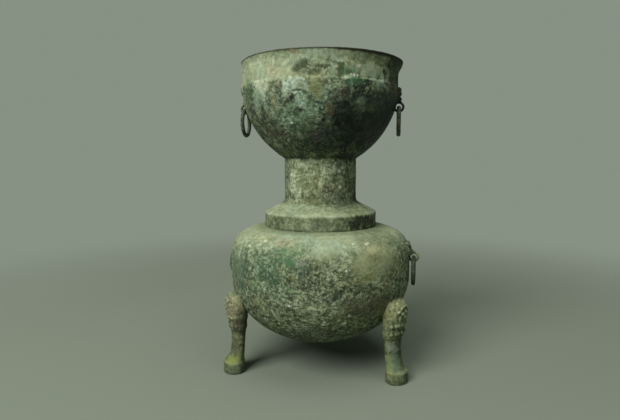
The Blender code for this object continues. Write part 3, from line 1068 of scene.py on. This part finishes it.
steamerSkin = {
    "mottle": (28, 0.18, 0.24, 0.26),
    "speckleScale": 420,
    "speckle": 0.17,
    "darkest": 0.26,
    "crust": 0.06,
    "pits": 0.15,
    "hollow": 0.05,
    # size, amount and strength of the pale flecks
    "pale": (170, 0.50, 0.16),
    # heights and tones; at the stem's top, just under the bowl, the tone drops as painted shade
    "tones": (
        (0.1975, 0.42), (0.2000, 0.54), (0.2140, 0.56), (0.2165, 0.74), (0.2270, 0.74),
        (0.2310, 0.58), (0.2400, 0.63), (0.2620, 0.67), (0.2840, 0.68), (0.2890, 0.63),
        (0.2920, 0.40), (0.3100, 0.41), (0.3400, 0.48), (0.3600, 0.55), (0.3780, 0.62),
        (0.3860, 0.72), (0.4040, 0.74), (0.4080, 0.74), (0.4130, 0.71), (0.4200, 0.66),
    ),
    # heights and how much coarse speckle there is
    "coarse": (
        (0.1975, 0.30), (0.2150, 0.36), (0.2180, 0.14), (0.2300, 0.30), (0.2400, 0.95),
        (0.2850, 0.95), (0.3000, 0.60), (0.3300, 0.75), (0.3830, 0.85), (0.3870, 0.25),
        (0.4200, 0.25),
    ),
    "insideTone": 0.40,
    "castWarmth": 0.0,
    "castCoarse": 0.5,
    "castHollow": 0.16,
    # azimuth, height, reach across, reach up, raggedness, change of tone, of coarseness, of warmth
    "areas": (
        (-28, 0.3430, 0.0720, 0.0420, 0.50, -0.25, -0.60, -0.30),
        (-74, 0.3560, 0.0220, 0.0220, 1.00, -0.12, 0.00, -0.30),
        (-112, 0.3520, 0.0160, 0.0200, 1.00, 0.08, 0.00, -0.10),
        (-152, 0.2620, 0.0130, 0.0300, 0.50, -0.16, -0.30, -0.40),
        (-34, 0.2060, 0.0260, 0.0090, 0.90, -0.22, 0.00, 0.10),
        (-128, 0.2060, 0.0300, 0.0080, 0.90, -0.05, 0.00, 0.10),
        (8, 0.3500, 0.0600, 0.0500, 0.50, -0.22, -0.60, -0.40),
        (0, 0.3610, 0.0120, 0.0070, 0.20, -0.14, 0.00, 0.00),
        (181, 0.3610, 0.0120, 0.0070, 0.20, -0.24, 0.00, 0.00),
        # the band's right side under the lip is darkened: painted shade
        (-12, 0.3990, 0.0380, 0.0240, 0.60, -0.36, -0.10, 0.10),
        (-72, 0.3180, 0.0400, 0.0220, 0.70, -0.14, -0.30, -0.20),
        (-130, 0.3940, 0.0620, 0.0100, 0.30, 0.03, -0.30, 0.10),
        (-124, 0.3775, 0.0130, 0.0085, 0.80, 0.16, -0.50, 0.00),
        (-98, 0.3780, 0.0140, 0.0090, 0.90, 0.26, -0.40, -0.30),
        (-97, 0.3720, 0.0065, 0.0014, 0.50, -0.45, 0.00, 0.00),
        (-101, 0.3620, 0.0035, 0.0070, 0.80, -0.32, 0.00, -0.20),
        (-97, 0.3570, 0.0120, 0.0085, 1.00, 0.24, -0.10, -0.30),
        (-106, 0.3380, 0.0140, 0.0100, 1.20, 0.12, 0.20, -0.40),
        (-88, 0.3560, 0.0120, 0.0160, 1.40, 0.05, 0.40, -0.40),
        (-128, 0.3550, 0.0060, 0.0270, 0.60, -0.14, -0.30, -0.30),
        (-141, 0.3660, 0.0160, 0.0200, 0.70, -0.10, -0.30, -0.20),
        (-133, 0.3340, 0.0240, 0.0180, 0.80, -0.05, -0.10, 0.20),
        (-57, 0.3770, 0.0170, 0.0100, 1.00, -0.22, -0.10, -0.50),
        (-84, 0.3980, 0.0240, 0.0080, 1.00, -0.05, 0.35, 0.10),
        (-94, 0.4010, 0.0100, 0.0070, 1.20, -0.05, 0.00, -0.30),
        (-80, 0.3985, 0.0090, 0.0030, 2.40, -0.12, 0.20, 0.20),
        (-76, 0.3930, 0.0060, 0.0070, 2.40, -0.12, 0.20, 0.30),
        (-86, 0.3900, 0.0110, 0.0040, 2.00, -0.12, 0.20, 0.40),
        (-60, 0.4040, 0.0140, 0.0060, 1.30, -0.06, 0.40, 0.10),
        (-38, 0.4090, 0.0300, 0.0060, 1.00, -0.14, 0.20, 0.10),
        (-127, 0.3710, 0.0100, 0.0150, 1.00, 0.12, -0.40, 0.00),
        (-104, 0.3985, 0.0050, 0.0050, 1.20, 0.07, 0.20, 0.00),
        (-113, 0.4060, 0.0016, 0.0060, 0.60, 0.10, 0.00, 0.00),
        (-117, 0.3960, 0.0016, 0.0050, 0.60, 0.12, 0.00, 0.00),
        (-66, 0.3450, 0.0160, 0.0160, 0.80, -0.12, -0.50, -0.30),
        (-100, 0.3350, 0.0900, 0.0450, 0.40, 0.00, 0.00, -0.22),
        (-68, 0.3600, 0.0060, 0.0050, 1.40, 0.10, 0.00, -0.30),
        (-74, 0.3300, 0.0200, 0.0016, 1.40, 0.08, 0.00, -0.10),
        (-62, 0.3230, 0.0180, 0.0014, 1.40, 0.07, 0.00, -0.10),
        (-42, 0.3560, 0.0070, 0.0050, 1.40, 0.08, 0.00, 0.00),
        (-30, 0.3720, 0.0090, 0.0090, 1.20, 0.07, 0.20, 0.30),
        (-46, 0.3980, 0.0130, 0.0085, 0.80, 0.02, -0.20, -0.30),
        # a pale line along the band's foot: wear on its edge and a painted highlight
        (-40, 0.3868, 0.0270, 0.0012, 0.30, 0.16, 0.00, 0.00),
        (-53, 0.3545, 0.0070, 0.0120, 0.90, 0.16, -0.20, -0.50),
        (-34, 0.2530, 0.0400, 0.0600, 0.60, -0.16, 0.00, 0.00),
        (-54, 0.3600, 0.0050, 0.0060, 1.00, 0.14, 0.00, -0.30),
        (-85, 0.3480, 0.0140, 0.0100, 1.00, 0.06, 0.30, -0.30),
        (150, 0.3500, 0.0600, 0.0450, 0.70, -0.10, 0.00, 0.00),
        (60, 0.3800, 0.0500, 0.0300, 0.70, 0.06, 0.00, 0.10),
    ),
    # azimuth, height, reach across, reach up, raggedness, strength, colour
    "stains": (
        (-66.0, 0.3950, 0.0090, 0.0080, 1.20, 0.75, malachite),
        (-66.5, 0.3950, 0.0024, 0.0060, 0.60, 0.90, brightMalachite),
        (-60.0, 0.3945, 0.0046, 0.0056, 1.00, 0.70, brightMalachite),
        (-59.5, 0.3835, 0.0110, 0.0050, 1.00, 0.60, malachite),
        (-92.5, 0.4040, 0.0050, 0.0050, 1.80, 0.85, mossDark),
        (-96.0, 0.3975, 0.0040, 0.0045, 1.80, 0.80, mossDark),
        (-87.5, 0.4002, 0.0090, 0.0018, 1.50, 0.75, mossDark),
        (-79.5, 0.3985, 0.0090, 0.0026, 1.80, 0.90, mossDark),
        (-83.5, 0.3925, 0.0110, 0.0030, 2.00, 0.90, mossDark),
        (-75.5, 0.3950, 0.0036, 0.0075, 1.80, 0.90, mossDark),
        (-71.5, 0.4020, 0.0060, 0.0034, 1.80, 0.80, mossDark),
        (-70.0, 0.3920, 0.0030, 0.0065, 1.80, 0.80, mossDark),
        (-68.8, 0.4010, 0.0040, 0.0036, 1.60, 0.70, mossDark),
        (-62.8, 0.3925, 0.0050, 0.0032, 1.80, 0.75, mossDark),
        (-57.0, 0.3955, 0.0032, 0.0060, 1.80, 0.60, mossDark),
        (-102, 0.3400, 0.0200, 0.0140, 1.40, 0.35, malachite),
        (-88, 0.3560, 0.0100, 0.0140, 1.40, 0.30, malachite),
        (-138, 0.3780, 0.0060, 0.0100, 0.80, 0.40, malachite),
        (-85, 0.3760, 0.0090, 0.0120, 1.10, 0.60, oliveGold),
        (-114.5, 0.3585, 0.0040, 0.0100, 0.80, 0.50, ochre),
        (-111, 0.3770, 0.0080, 0.0090, 0.80, 0.40, brownEarth),
        (-115, 0.3950, 0.0050, 0.0090, 0.80, 0.35, pinkEarth),
        (-67, 0.3680, 0.0120, 0.0060, 0.90, 0.50, brownEarth),
        (-75, 0.3500, 0.0050, 0.0120, 1.00, 0.28, ochre),
        (-84.6, 0.3187, 0.0090, 0.0080, 0.80, 0.50, plum),
        (-99, 0.4165, 0.0060, 0.0030, 0.80, 0.60, rust),
        (-18, 0.3810, 0.0280, 0.0100, 0.80, 0.60, brownEarth),
        (-122, 0.3220, 0.0220, 0.0120, 1.00, 0.35, brownEarth),
        (-96, 0.2620, 0.0140, 0.0220, 1.20, 0.35, oliveGold),
        (-60, 0.2450, 0.0160, 0.0160, 1.20, 0.40, brownEarth),
        (100, 0.3000, 0.0300, 0.0300, 1.00, 0.40, brownEarth),
        (40, 0.3950, 0.0160, 0.0120, 1.00, 0.50, malachite),
    ),
    # azimuth, height and reach of single pale flakes
    "flakes": (
        (-92, 0.3835, 0.0020), (-62, 0.3900, 0.0014), (-60, 0.3897, 0.0018),
        (-52.1, 0.2744, 0.0020), (-50.2, 0.2530, 0.0022), (-57.5, 0.3893, 0.0012),
        (-104, 0.3345, 0.0016), (-113, 0.3940, 0.0010),
    ),
    "streaks": (0.3860, 0.4070, 0.20),
    # the lip's dark edge: where it starts, and how far down it widens on the right, taking in
    # painted shade under the lip
    "lipEdgeAndShade": (0.4178, 0.0054),
}

cauldronSkin = {
    "mottle": (30, 0.11, 0.16, 0.18),
    "speckleScale": 350,
    "speckle": 0.26,
    "darkest": 0.17,
    "crust": 0.06,
    "pits": 0.15,
    "hollow": 0.05,
    "pale": (210, 0.46, 0.12),
    "tones": (
        (0.0268, 0.33), (0.0500, 0.43), (0.0800, 0.52), (0.1100, 0.52), (0.1500, 0.52),
        (0.1750, 0.58), (0.1860, 0.70), (0.1940, 0.75), (0.1975, 0.60), (0.2140, 0.44),
    ),
    "coarse": (
        (0.0268, 1.00), (0.0800, 1.10), (0.1500, 1.05), (0.1750, 0.80), (0.1860, 0.35),
        (0.1940, 0.15), (0.2140, 0.10),
    ),
    "insideTone": 0.36,
    "castWarmth": 0.25,
    "castCoarse": 0.28,
    "castHollow": 0.17,
    # heights and tones of the cast-on parts; the hoof's upper rim is painted paler than its side,
    # as painted light on its top
    "castTones": (
        (0.0000, 0.36), (0.0130, 0.42), (0.0155, 0.52), (0.0190, 0.46), (0.0400, 0.42),
        (0.0600, 0.39), (0.0850, 0.48), (0.1040, 0.53), (0.1130, 0.54), (0.1200, 0.46),
        (0.1750, 0.40),
    ),
    "areas": (
        (-48, 0.1620, 0.0440, 0.0230, 0.50, 0.13, -0.85, 0.30),
        (-122, 0.1650, 0.0400, 0.0260, 0.90, -0.05, 0.00, -0.10),
        (-36, 0.1900, 0.0400, 0.0100, 0.60, -0.10, 0.00, 0.00),
        (-132, 0.1100, 0.0140, 0.0300, 0.80, -0.08, 0.00, 0.00),
        (-95, 0.1400, 0.0400, 0.0200, 0.90, -0.06, 0.00, -0.10),
        (-78.5, 0.1780, 0.0200, 0.0100, 0.70, 0.08, -0.60, 0.00),
        (-52, 0.1080, 0.0400, 0.0180, 0.70, -0.03, -0.45, 0.30),
        (-68, 0.1345, 0.0160, 0.0035, 1.30, -0.12, 0.20, 0.00),
        (-56, 0.1310, 0.0160, 0.0035, 1.30, -0.14, 0.20, 0.00),
        (-140, 0.1490, 0.0240, 0.0220, 0.60, 0.00, -0.80, -0.50),
        (-125, 0.1820, 0.0300, 0.0080, 1.00, 0.02, 0.20, 0.10),
        (-47, 0.1700, 0.0100, 0.0050, 1.00, -0.12, 0.00, 0.00),
        (-76, 0.1217, 0.0080, 0.0030, 0.90, -0.16, 0.00, -0.40),
        (-139.6, 0.1720, 0.0030, 0.0100, 0.80, 0.18, 0.00, 0.10),
        (110, 0.1500, 0.0600, 0.0400, 0.80, -0.08, 0.00, 0.00),
        (30, 0.1750, 0.0500, 0.0140, 0.80, 0.08, -0.40, 0.10),
    ),
    "stains": (
        (-105.6, 0.1880, 0.0100, 0.0050, 0.80, 0.50, pinkEarth),
        (-98.5, 0.1730, 0.0160, 0.0130, 1.40, 0.50, malachite),
        (-98.5, 0.1655, 0.0060, 0.0050, 0.80, 0.70, malachite),
        (-108, 0.1780, 0.0050, 0.0030, 0.80, 0.50, malachite),
        (-93, 0.1680, 0.0060, 0.0050, 1.00, 0.35, lilacGrey),
        (-97, 0.1485, 0.0030, 0.0030, 0.80, 0.60, oliveGold),
        (-54.5, 0.1450, 0.0130, 0.0060, 0.70, 0.45, oliveGold),
        (-50, 0.1120, 0.0320, 0.0180, 0.90, 0.50, brownEarth),
        (-80, 0.0700, 0.0500, 0.0120, 1.20, 0.40, brownEarth),
        (70, 0.1200, 0.0400, 0.0300, 1.10, 0.40, brownEarth),
        (140, 0.1600, 0.0300, 0.0200, 1.10, 0.40, malachite),
        (-112, 0.1500, 0.0260, 0.0240, 1.60, 0.35, malachite),
    ),
    "flakes": (
        (-61.1, 0.1871, 0.0015), (-59.4, 0.1878, 0.0010), (-52.2, 0.1860, 0.0019),
        (-50.4, 0.1866, 0.0014), (-67.1, 0.1574, 0.0020), (-65.6, 0.1580, 0.0012),
        (-99.4, 0.1134, 0.0018), (-64.8, 0.0997, 0.0022), (-66.4, 0.0894, 0.0020),
        (-80.0, 0.0880, 0.0018), (-120, 0.1880, 0.0018), (-131, 0.1800, 0.0018),
    ),
    # the same as stains, with the radius first, on the legs
    "legStains": (
        (0.1300, -146, 0.0880, 0.0100, 0.0140, 1.40, 0.35, pinkEarth),
        (0.1240, -40, 0.0940, 0.0120, 0.0120, 0.80, 0.35, oliveGold),
        (0.1180, -139, 0.0700, 0.0140, 0.0150, 1.20, 0.80, darkEarth),
        (0.1300, -24, 0.0660, 0.0120, 0.0120, 1.00, 0.45, brownEarth),
        (0.1300, -40, 0.0310, 0.0100, 0.0150, 1.30, 0.70, goldGreen),
        (0.1310, -34, 0.0300, 0.0090, 0.0130, 1.20, 0.60, tealGrey),
        (0.1300, -36, 0.0500, 0.0070, 0.0070, 1.20, 0.50, lilacGrey),
        (0.1340, -145, 0.0200, 0.0120, 0.0060, 1.20, 0.50, goldGreen),
        (0.1280, 90, 0.0800, 0.0180, 0.0200, 1.10, 0.40, brownEarth),
    ),
}


# what both castings' skins share
skinDetail = {
    "torn": (110, 4, 0.65),        # noise that tears the stains' edges
    "tornSwing": 4.0,
    "warmth": (38, 2),
    "warmthSwing": 1.3,
    "speckle": (4, 0.75),
    "speckleEdges": (0.36, 0.64),
    "streak": (210, 3, 0.6),
    "streakDrawn": 0.16,
    "insideMottle": 0.45,
    "stainLight": (1.7, 0.15),
    "flakeRagged": 0.70,
    "grit": (380, 0.52, 0.06),
    "gritStrength": 0.6,
    "roughness": (0.56, 0.82),     # on the darkest and on the palest tones
    "specular": 0.30,
    "grainScale": 620,
    "bump": (0.55, 0.0007),
}


def addBump(tree, shader, height, strength, distance):
    bump = addNode(
        tree, "ShaderNodeBump", {"Height": height, "Strength": strength, "Distance": distance}
    )
    tree.links.new(bump.outputs["Normal"], shader.inputs["Normal"])


def makeSkin(name, groups, radiusAt, s):
    d = skinDetail
    material, tree, shader, vector = startMaterial(name)
    z = addNode(tree, "ShaderNodeSeparateXYZ", {0: vector}).outputs["Z"]
    torn = calculate(
        tree, "MULTIPLY_ADD", noiseOf(tree, vector, *d["torn"]), d["tornSwing"], -d["tornSwing"] / 2
    )
    scale, coarseSwing, middleSwing, fineSwing = s["mottle"]
    mottle = useGroup(
        tree, groups["mottle"], Vector=vector, Scale=scale, Coarse=coarseSwing,
        Middle=middleSwing, Fine=fineSwing,
    )["Tone"]
    cast, outer = layerOf(tree, "cast"), layerOf(tree, "outer")
    tone = byHeight(tree, z, s["tones"])
    if "castTones" in s:
        tone = mixColour(tree, cast, tone, byHeight(tree, z, s["castTones"]))
    coarse = layerOf(tree, "coarse")
    warmth = calculate(
        tree, "MULTIPLY_ADD", noiseOf(tree, vector, *d["warmth"]),
        d["warmthSwing"], 0.5 - d["warmthSwing"] / 2,
    )
    warmth = calculate(tree, "MULTIPLY_ADD", cast, s["castWarmth"], warmth)
    for azimuth, height, across, up, ragged, toneChange, _, warmthChange in s["areas"]:
        mask = stainMask(
            tree, groups, vector, torn, azimuth, height, float(radiusAt(height)), across, up, ragged
        )
        if toneChange:
            tone = calculate(tree, "MULTIPLY_ADD", mask, toneChange, tone)
        if warmthChange:
            warmth = calculate(tree, "MULTIPLY_ADD", mask, warmthChange, warmth)
    speckle = noiseOf(tree, vector, s["speckleScale"], *d["speckle"])
    speckle = calculate(tree, "SUBTRACT", smoothStep(tree, speckle, *d["speckleEdges"]), 0.5)
    swing = calculate(tree, "MULTIPLY", coarse, s["speckle"])
    patchy = calculate(tree, "MULTIPLY", mottle, calculate(tree, "MULTIPLY_ADD", coarse, 0.7, 0.3))
    swing = calculate(tree, "MULTIPLY_ADD", speckle, swing, patchy)
    if "streaks" in s:
        low, high, strength = s["streaks"]
        drawn = vectorMath(tree, "MULTIPLY", vector, (1, 1, d["streakDrawn"]))
        streak = calculate(tree, "SUBTRACT", noiseOf(tree, drawn, *d["streak"]), 0.5)
        onBand = calculate(
            tree, "MULTIPLY", smoothStep(tree, z, low - 0.002, low + 0.002),
            smoothStep(tree, z, high + 0.003, high),
        )
        onBand = calculate(tree, "MULTIPLY", onBand, strength)
        swing = calculate(tree, "MULTIPLY_ADD", onBand, streak, swing)
    for label in ("crust", "pits"):
        layer = calculate(tree, "MULTIPLY", layerOf(tree, label), s[label])
        swing = calculate(tree, "MULTIPLY_ADD", layer, coarse, swing)
    hollow = calculate(tree, "MULTIPLY_ADD", cast, s["castHollow"], s["hollow"])
    hollow = calculate(tree, "MULTIPLY", layerOf(tree, "hollow"), hollow)
    swing = calculate(tree, "SUBTRACT", swing, hollow)
    size, amount, strength = s["pale"]
    pale = useGroup(
        tree, groups["specks"], Vector=vector, Scale=size, Amount=amount, Soft=0.05
    )["Mask"]
    pale = calculate(tree, "MULTIPLY", pale, calculate(tree, "MULTIPLY", coarse, strength))
    swing = calculate(tree, "ADD", swing, pale)
    # the darkest spots are held back
    swing = calculate(tree, "SMOOTH_MAX", swing, -s["darkest"], 0.10)
    tone = calculate(tree, "ADD", tone, swing)
    inner = calculate(tree, "MULTIPLY_ADD", mottle, d["insideMottle"], s["insideTone"])
    tone = mixColour(tree, outer, inner, tone)
    colour = useGroup(tree, groups["patina"], Tone=tone, Warmth=warmth)["Color"]
    # a stain is lighter and darker with the tone under it
    light = calculate(tree, "MULTIPLY_ADD", tone, *d["stainLight"])
    stains = [(float(radiusAt(stain[1])), *stain) for stain in s["stains"]]
    stains += s.get("legStains", ())
    for radius, azimuth, height, across, up, ragged, strength, paint in stains:
        mask = stainMask(
            tree, groups, vector, torn, azimuth, height, radius, across, up, ragged
        )
        share = calculate(tree, "MULTIPLY", mask, strength)
        shaded = vectorMath(tree, "SCALE", paint, light)
        colour = mixColour(tree, share, colour, shaded)
    for azimuth, height, reach in s["flakes"]:
        mask = stainMask(
            tree, groups, vector, torn, azimuth, height, float(radiusAt(height)),
            reach, reach, d["flakeRagged"],
        )
        colour = mixColour(tree, mask, colour, paleFlake)
    size, amount, soft = d["grit"]
    grit = useGroup(
        tree, groups["specks"], Vector=vector, Scale=size, Amount=amount, Soft=soft
    )["Mask"]
    grit = calculate(tree, "MULTIPLY", grit, calculate(tree, "MULTIPLY", coarse, d["gritStrength"]))
    colour = mixColour(tree, grit, colour, palePowder)
    # the lip's dark edge, with painted shade under the lip on the right
    if "lipEdgeAndShade" in s:
        colour = lipEdgeAndShade(tree, vector, z, torn, colour, *s["lipEdgeAndShade"])
    tree.links.new(colour, shader.inputs["Base Color"])
    dark, bright = d["roughness"]
    rough = smoothStep(tree, tone, 0.05, 0.50)
    rough = calculate(tree, "MULTIPLY_ADD", rough, bright - dark, dark)
    tree.links.new(rough, shader.inputs["Roughness"])
    shader.inputs["Specular IOR Level"].default_value = d["specular"]
    grain = useGroup(tree, groups["grain"], Vector=vector, Scale=d["grainScale"])["Height"]
    height = calculate(tree, "MULTIPLY_ADD", speckle, coarse, grain)
    addBump(tree, shader, height, *d["bump"])
    return material


def lipEdgeAndShade(tree, vector, z, torn, colour, low, widening):
    # the bare dark edge of the lip, thin and broken on the left and wide on the right, where it
    # also paints the shade on the lip's underside
    x = addNode(tree, "ShaderNodeSeparateXYZ", {0: vector}).outputs["X"]
    side = smoothStep(tree, x, 0.010, 0.108)
    edge = calculate(tree, "MULTIPLY_ADD", side, -widening, low)
    edge = calculate(tree, "MULTIPLY_ADD", torn, 0.0008, edge)
    soft = calculate(tree, "MULTIPLY_ADD", side, 0.0040, 0.0005)
    mask = smoothStep(tree, calculate(tree, "SUBTRACT", z, edge), -0.0003, soft)
    whole = calculate(tree, "MAXIMUM", smoothStep(tree, x, -0.040, 0.040), 0.80)
    mask = calculate(tree, "MULTIPLY", mask, whole)
    dark = mixColour(
        tree, noiseOf(tree, vector, 260, 2), (0.010, 0.012, 0.006), (0.040, 0.043, 0.020)
    )
    return mixColour(tree, mask, colour, dark)


ringPatina = {
    "mottle": (80, 0.12, 0.12, 0.12),
    "tone": 0.30,
    "crust": 0.2,
    "warmth": 0.45,
    "grit": (420, 0.42, 0.05),
    "gritStrength": 0.6,
    "roughness": 0.7,
    "grainScale": 700,
    "bump": (0.5, 0.0005),
}


def makeRingSkin(groups, s):
    material, tree, shader, vector = startMaterial("ringPatina")
    scale, coarse, middle, fine = s["mottle"]
    mottle = useGroup(
        tree, groups["mottle"], Vector=vector, Scale=scale, Coarse=coarse, Middle=middle, Fine=fine
    )["Tone"]
    tone = calculate(tree, "ADD", mottle, s["tone"])
    tone = calculate(tree, "MULTIPLY_ADD", layerOf(tree, "crust"), s["crust"], tone)
    colour = useGroup(tree, groups["patina"], Tone=tone, Warmth=s["warmth"])["Color"]
    size, amount, soft = s["grit"]
    grit = useGroup(
        tree, groups["specks"], Vector=vector, Scale=size, Amount=amount, Soft=soft
    )["Mask"]
    grit = calculate(tree, "MULTIPLY", grit, s["gritStrength"])
    tree.links.new(mixColour(tree, grit, colour, palePowder), shader.inputs["Base Color"])
    shader.inputs["Roughness"].default_value = s["roughness"]
    grain = useGroup(tree, groups["grain"], Vector=vector, Scale=s["grainScale"])["Height"]
    addBump(tree, shader, grain, *s["bump"])
    return material


def areaLight(name, place, size, power, colour, aim):
    data = bpy.data.lights.new(name, "AREA")
    data.size = size
    data.energy = power
    data.color = colour
    light = bpy.data.objects.new(name, data)
    bpy.context.scene.collection.objects.link(light)
    light.location = place
    light.rotation_euler = (Vector(aim) - Vector(place)).to_track_quat("-Z", "Y").to_euler()


print("turning the steamer")
steamerPath = steamerOutline(steamer)
steamerRadius = outerSide(steamerPath)
bowlPiece = turnOutline("steamer_casting", steamerPath, steamer["stepsRound"])
subdivide(bowlPiece, 2)
shiftLevels(bowlPiece, steamer)
combine(bowlPiece, makeSlots(steamer), "DIFFERENCE")
print("turning the cauldron")
cauldronPath = cauldronOutline(cauldron)
cauldronRadius = outerSide(cauldronPath)
cauldronPiece = turnOutline("cauldron_casting", cauldronPath, cauldron["stepsRound"])
subdivide(cauldronPiece, 2)
steamerCore = makeCore("steamerCore", steamerPath, steamer["wall"], *steamer["coreReach"])
cauldronCore = makeCore("cauldronCore", cauldronPath, cauldron["wall"], *cauldron["coreReach"])
print("legs")
legPiece = makeLeg(leg)
modelFeatures(legPiece, leg["features"])
legPiece.data.transform(Matrix.Translation((0, axisY, 0)))
combine(legPiece, copyOf(cauldronCore, "core"), "DIFFERENCE")
axis = Matrix.Translation((0, axisY, 0))
for angle in cauldron["legAngles"]:
    copy = copyOf(legPiece, "leg")
    copy.data.transform(axis @ Matrix.Rotation(math.radians(angle), 4, "Z") @ axis.inverted())
    combine(cauldronPiece, copy, "UNION")
print("masks and eyes")
maskPiece = makeMask(mask)
for ringName in holders:
    onBowl = ringName.startswith("bowl")
    addHolder(
        bowlPiece if onBowl else cauldronPiece, steamerCore if onBowl else cauldronCore,
        ringName, maskPiece,
    )
for spare in (legPiece, maskPiece, steamerCore, cauldronCore):
    bpy.data.objects.remove(spare, do_unlink=True)
print("relief")
roughen(bowlPiece, steamerRadius, steamerRelief, steamerSkin)
roughen(cauldronPiece, cauldronRadius, cauldronRelief, cauldronSkin)
smooth(bowlPiece, smoothAngle)
smooth(cauldronPiece, smoothAngle)

print("rings")
rings = {name: makeRing(name, ringHandle) for name in holders}

print("materials")
groups = {
    "stain": stainGroup(),
    "specks": specksGroup(),
    "mottle": mottleGroup(),
    "grain": grainGroup(),
    "patina": patinaGroup(),
}


finish(bowlPiece, makeSkin("steamerPatina", groups, steamerRadius, steamerSkin))
finish(cauldronPiece, makeSkin("cauldronPatina", groups, cauldronRadius, cauldronSkin))
ringSkin = makeRingSkin(groups, ringPatina)
for ring in rings.values():
    finish(ring, ringSkin)

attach(bowlPiece, "vessel")
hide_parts("steamer_bowl")
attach(cauldronPiece, "vessel")
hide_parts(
    "cauldron_shoulder", "cauldron_base",
    "cauldron_leg_right", "cauldron_leg_back", "cauldron_leg_left",
)
for name, ring in rings.items():
    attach(ring, name)
    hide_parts(name)

print("studio")
studio = {
    "cameraAzimuth": 8.4, "cameraDistance": 0.684, "cameraHeight": 0.290, "cameraPitch": 6.1,
    "lens": 27.87, "shiftX": -0.0169, "shiftY": 0.0008,
    "floor": (0.215, 0.245, 0.197), "floorReach": (0.45, 1.30),
    "ambient": 0.12, "backdrop": (0.242, 0.283, 0.231),
    "key": ((-1.30, -2.26, 2.40), 1.9, 122, (1.0, 1.0, 0.96), (0, 0, 0.22)),
    "top": ((0.30, -0.60, 3.00), 2.0, 30, (0.97, 1.0, 0.97), (0, 0, 0.20)),
}
deselectAll()
bpy.ops.mesh.primitive_plane_add(size=24, location=(0, 0, 0))
floor = bpy.context.object
floor.name = "floor"
floorMaterial, tree, floorShader, vector = startMaterial("paleFloor")
# further off, the floor passes into the backdrop
away = addNode(tree, "ShaderNodeVectorMath", {0: vector}, operation="LENGTH").outputs["Value"]
near, far = studio["floorReach"]
passing = smoothStep(tree, away, near, far)
tree.links.new(
    mixColour(tree, passing, studio["floor"], (0, 0, 0)), floorShader.inputs["Base Color"]
)
tree.links.new(
    mixColour(tree, passing, (0, 0, 0), studio["backdrop"]), floorShader.inputs["Emission Color"]
)
floorShader.inputs["Emission Strength"].default_value = 1.0
floorShader.inputs["Specular IOR Level"].default_value = 0.0
floorShader.inputs["Roughness"].default_value = 1.0
finish(floor, floorMaterial)


areaLight("key", *studio["key"])
areaLight("top", *studio["top"])

# the backdrop is seen brighter than the light it gives
world = bpy.data.worlds.new("studio")
world.use_nodes = True
tree = world.node_tree
background = tree.nodes["Background"]
background.inputs["Color"].default_value = (*studio["backdrop"], 1)
seen = addNode(tree, "ShaderNodeLightPath").outputs["Is Camera Ray"]
dimming = studio["ambient"] / max(studio["backdrop"])
tree.links.new(
    calculate(tree, "MULTIPLY_ADD", seen, 1 - dimming, dimming), background.inputs["Strength"]
)
bpy.context.scene.world = world

camera = bpy.data.objects.new("camera", bpy.data.cameras.new("camera"))
bpy.context.scene.collection.objects.link(camera)
turn = math.radians(studio["cameraAzimuth"])
camera.location = (
    studio["cameraDistance"] * math.sin(turn),
    axisY - studio["cameraDistance"] * math.cos(turn),
    studio["cameraHeight"],
)
camera.rotation_euler = (math.radians(90 - studio["cameraPitch"]), 0, turn)
camera.data.sensor_width = 36
camera.data.lens = studio["lens"]
camera.data.shift_x = studio["shiftX"]
camera.data.shift_y = studio["shiftY"]
bpy.context.scene.camera = camera
bpy.context.scene.view_settings.view_transform = "Standard"

for piece in (bowlPiece, cauldronPiece, *rings.values()):
    print(piece.name, triangleCount(piece), "triangles")
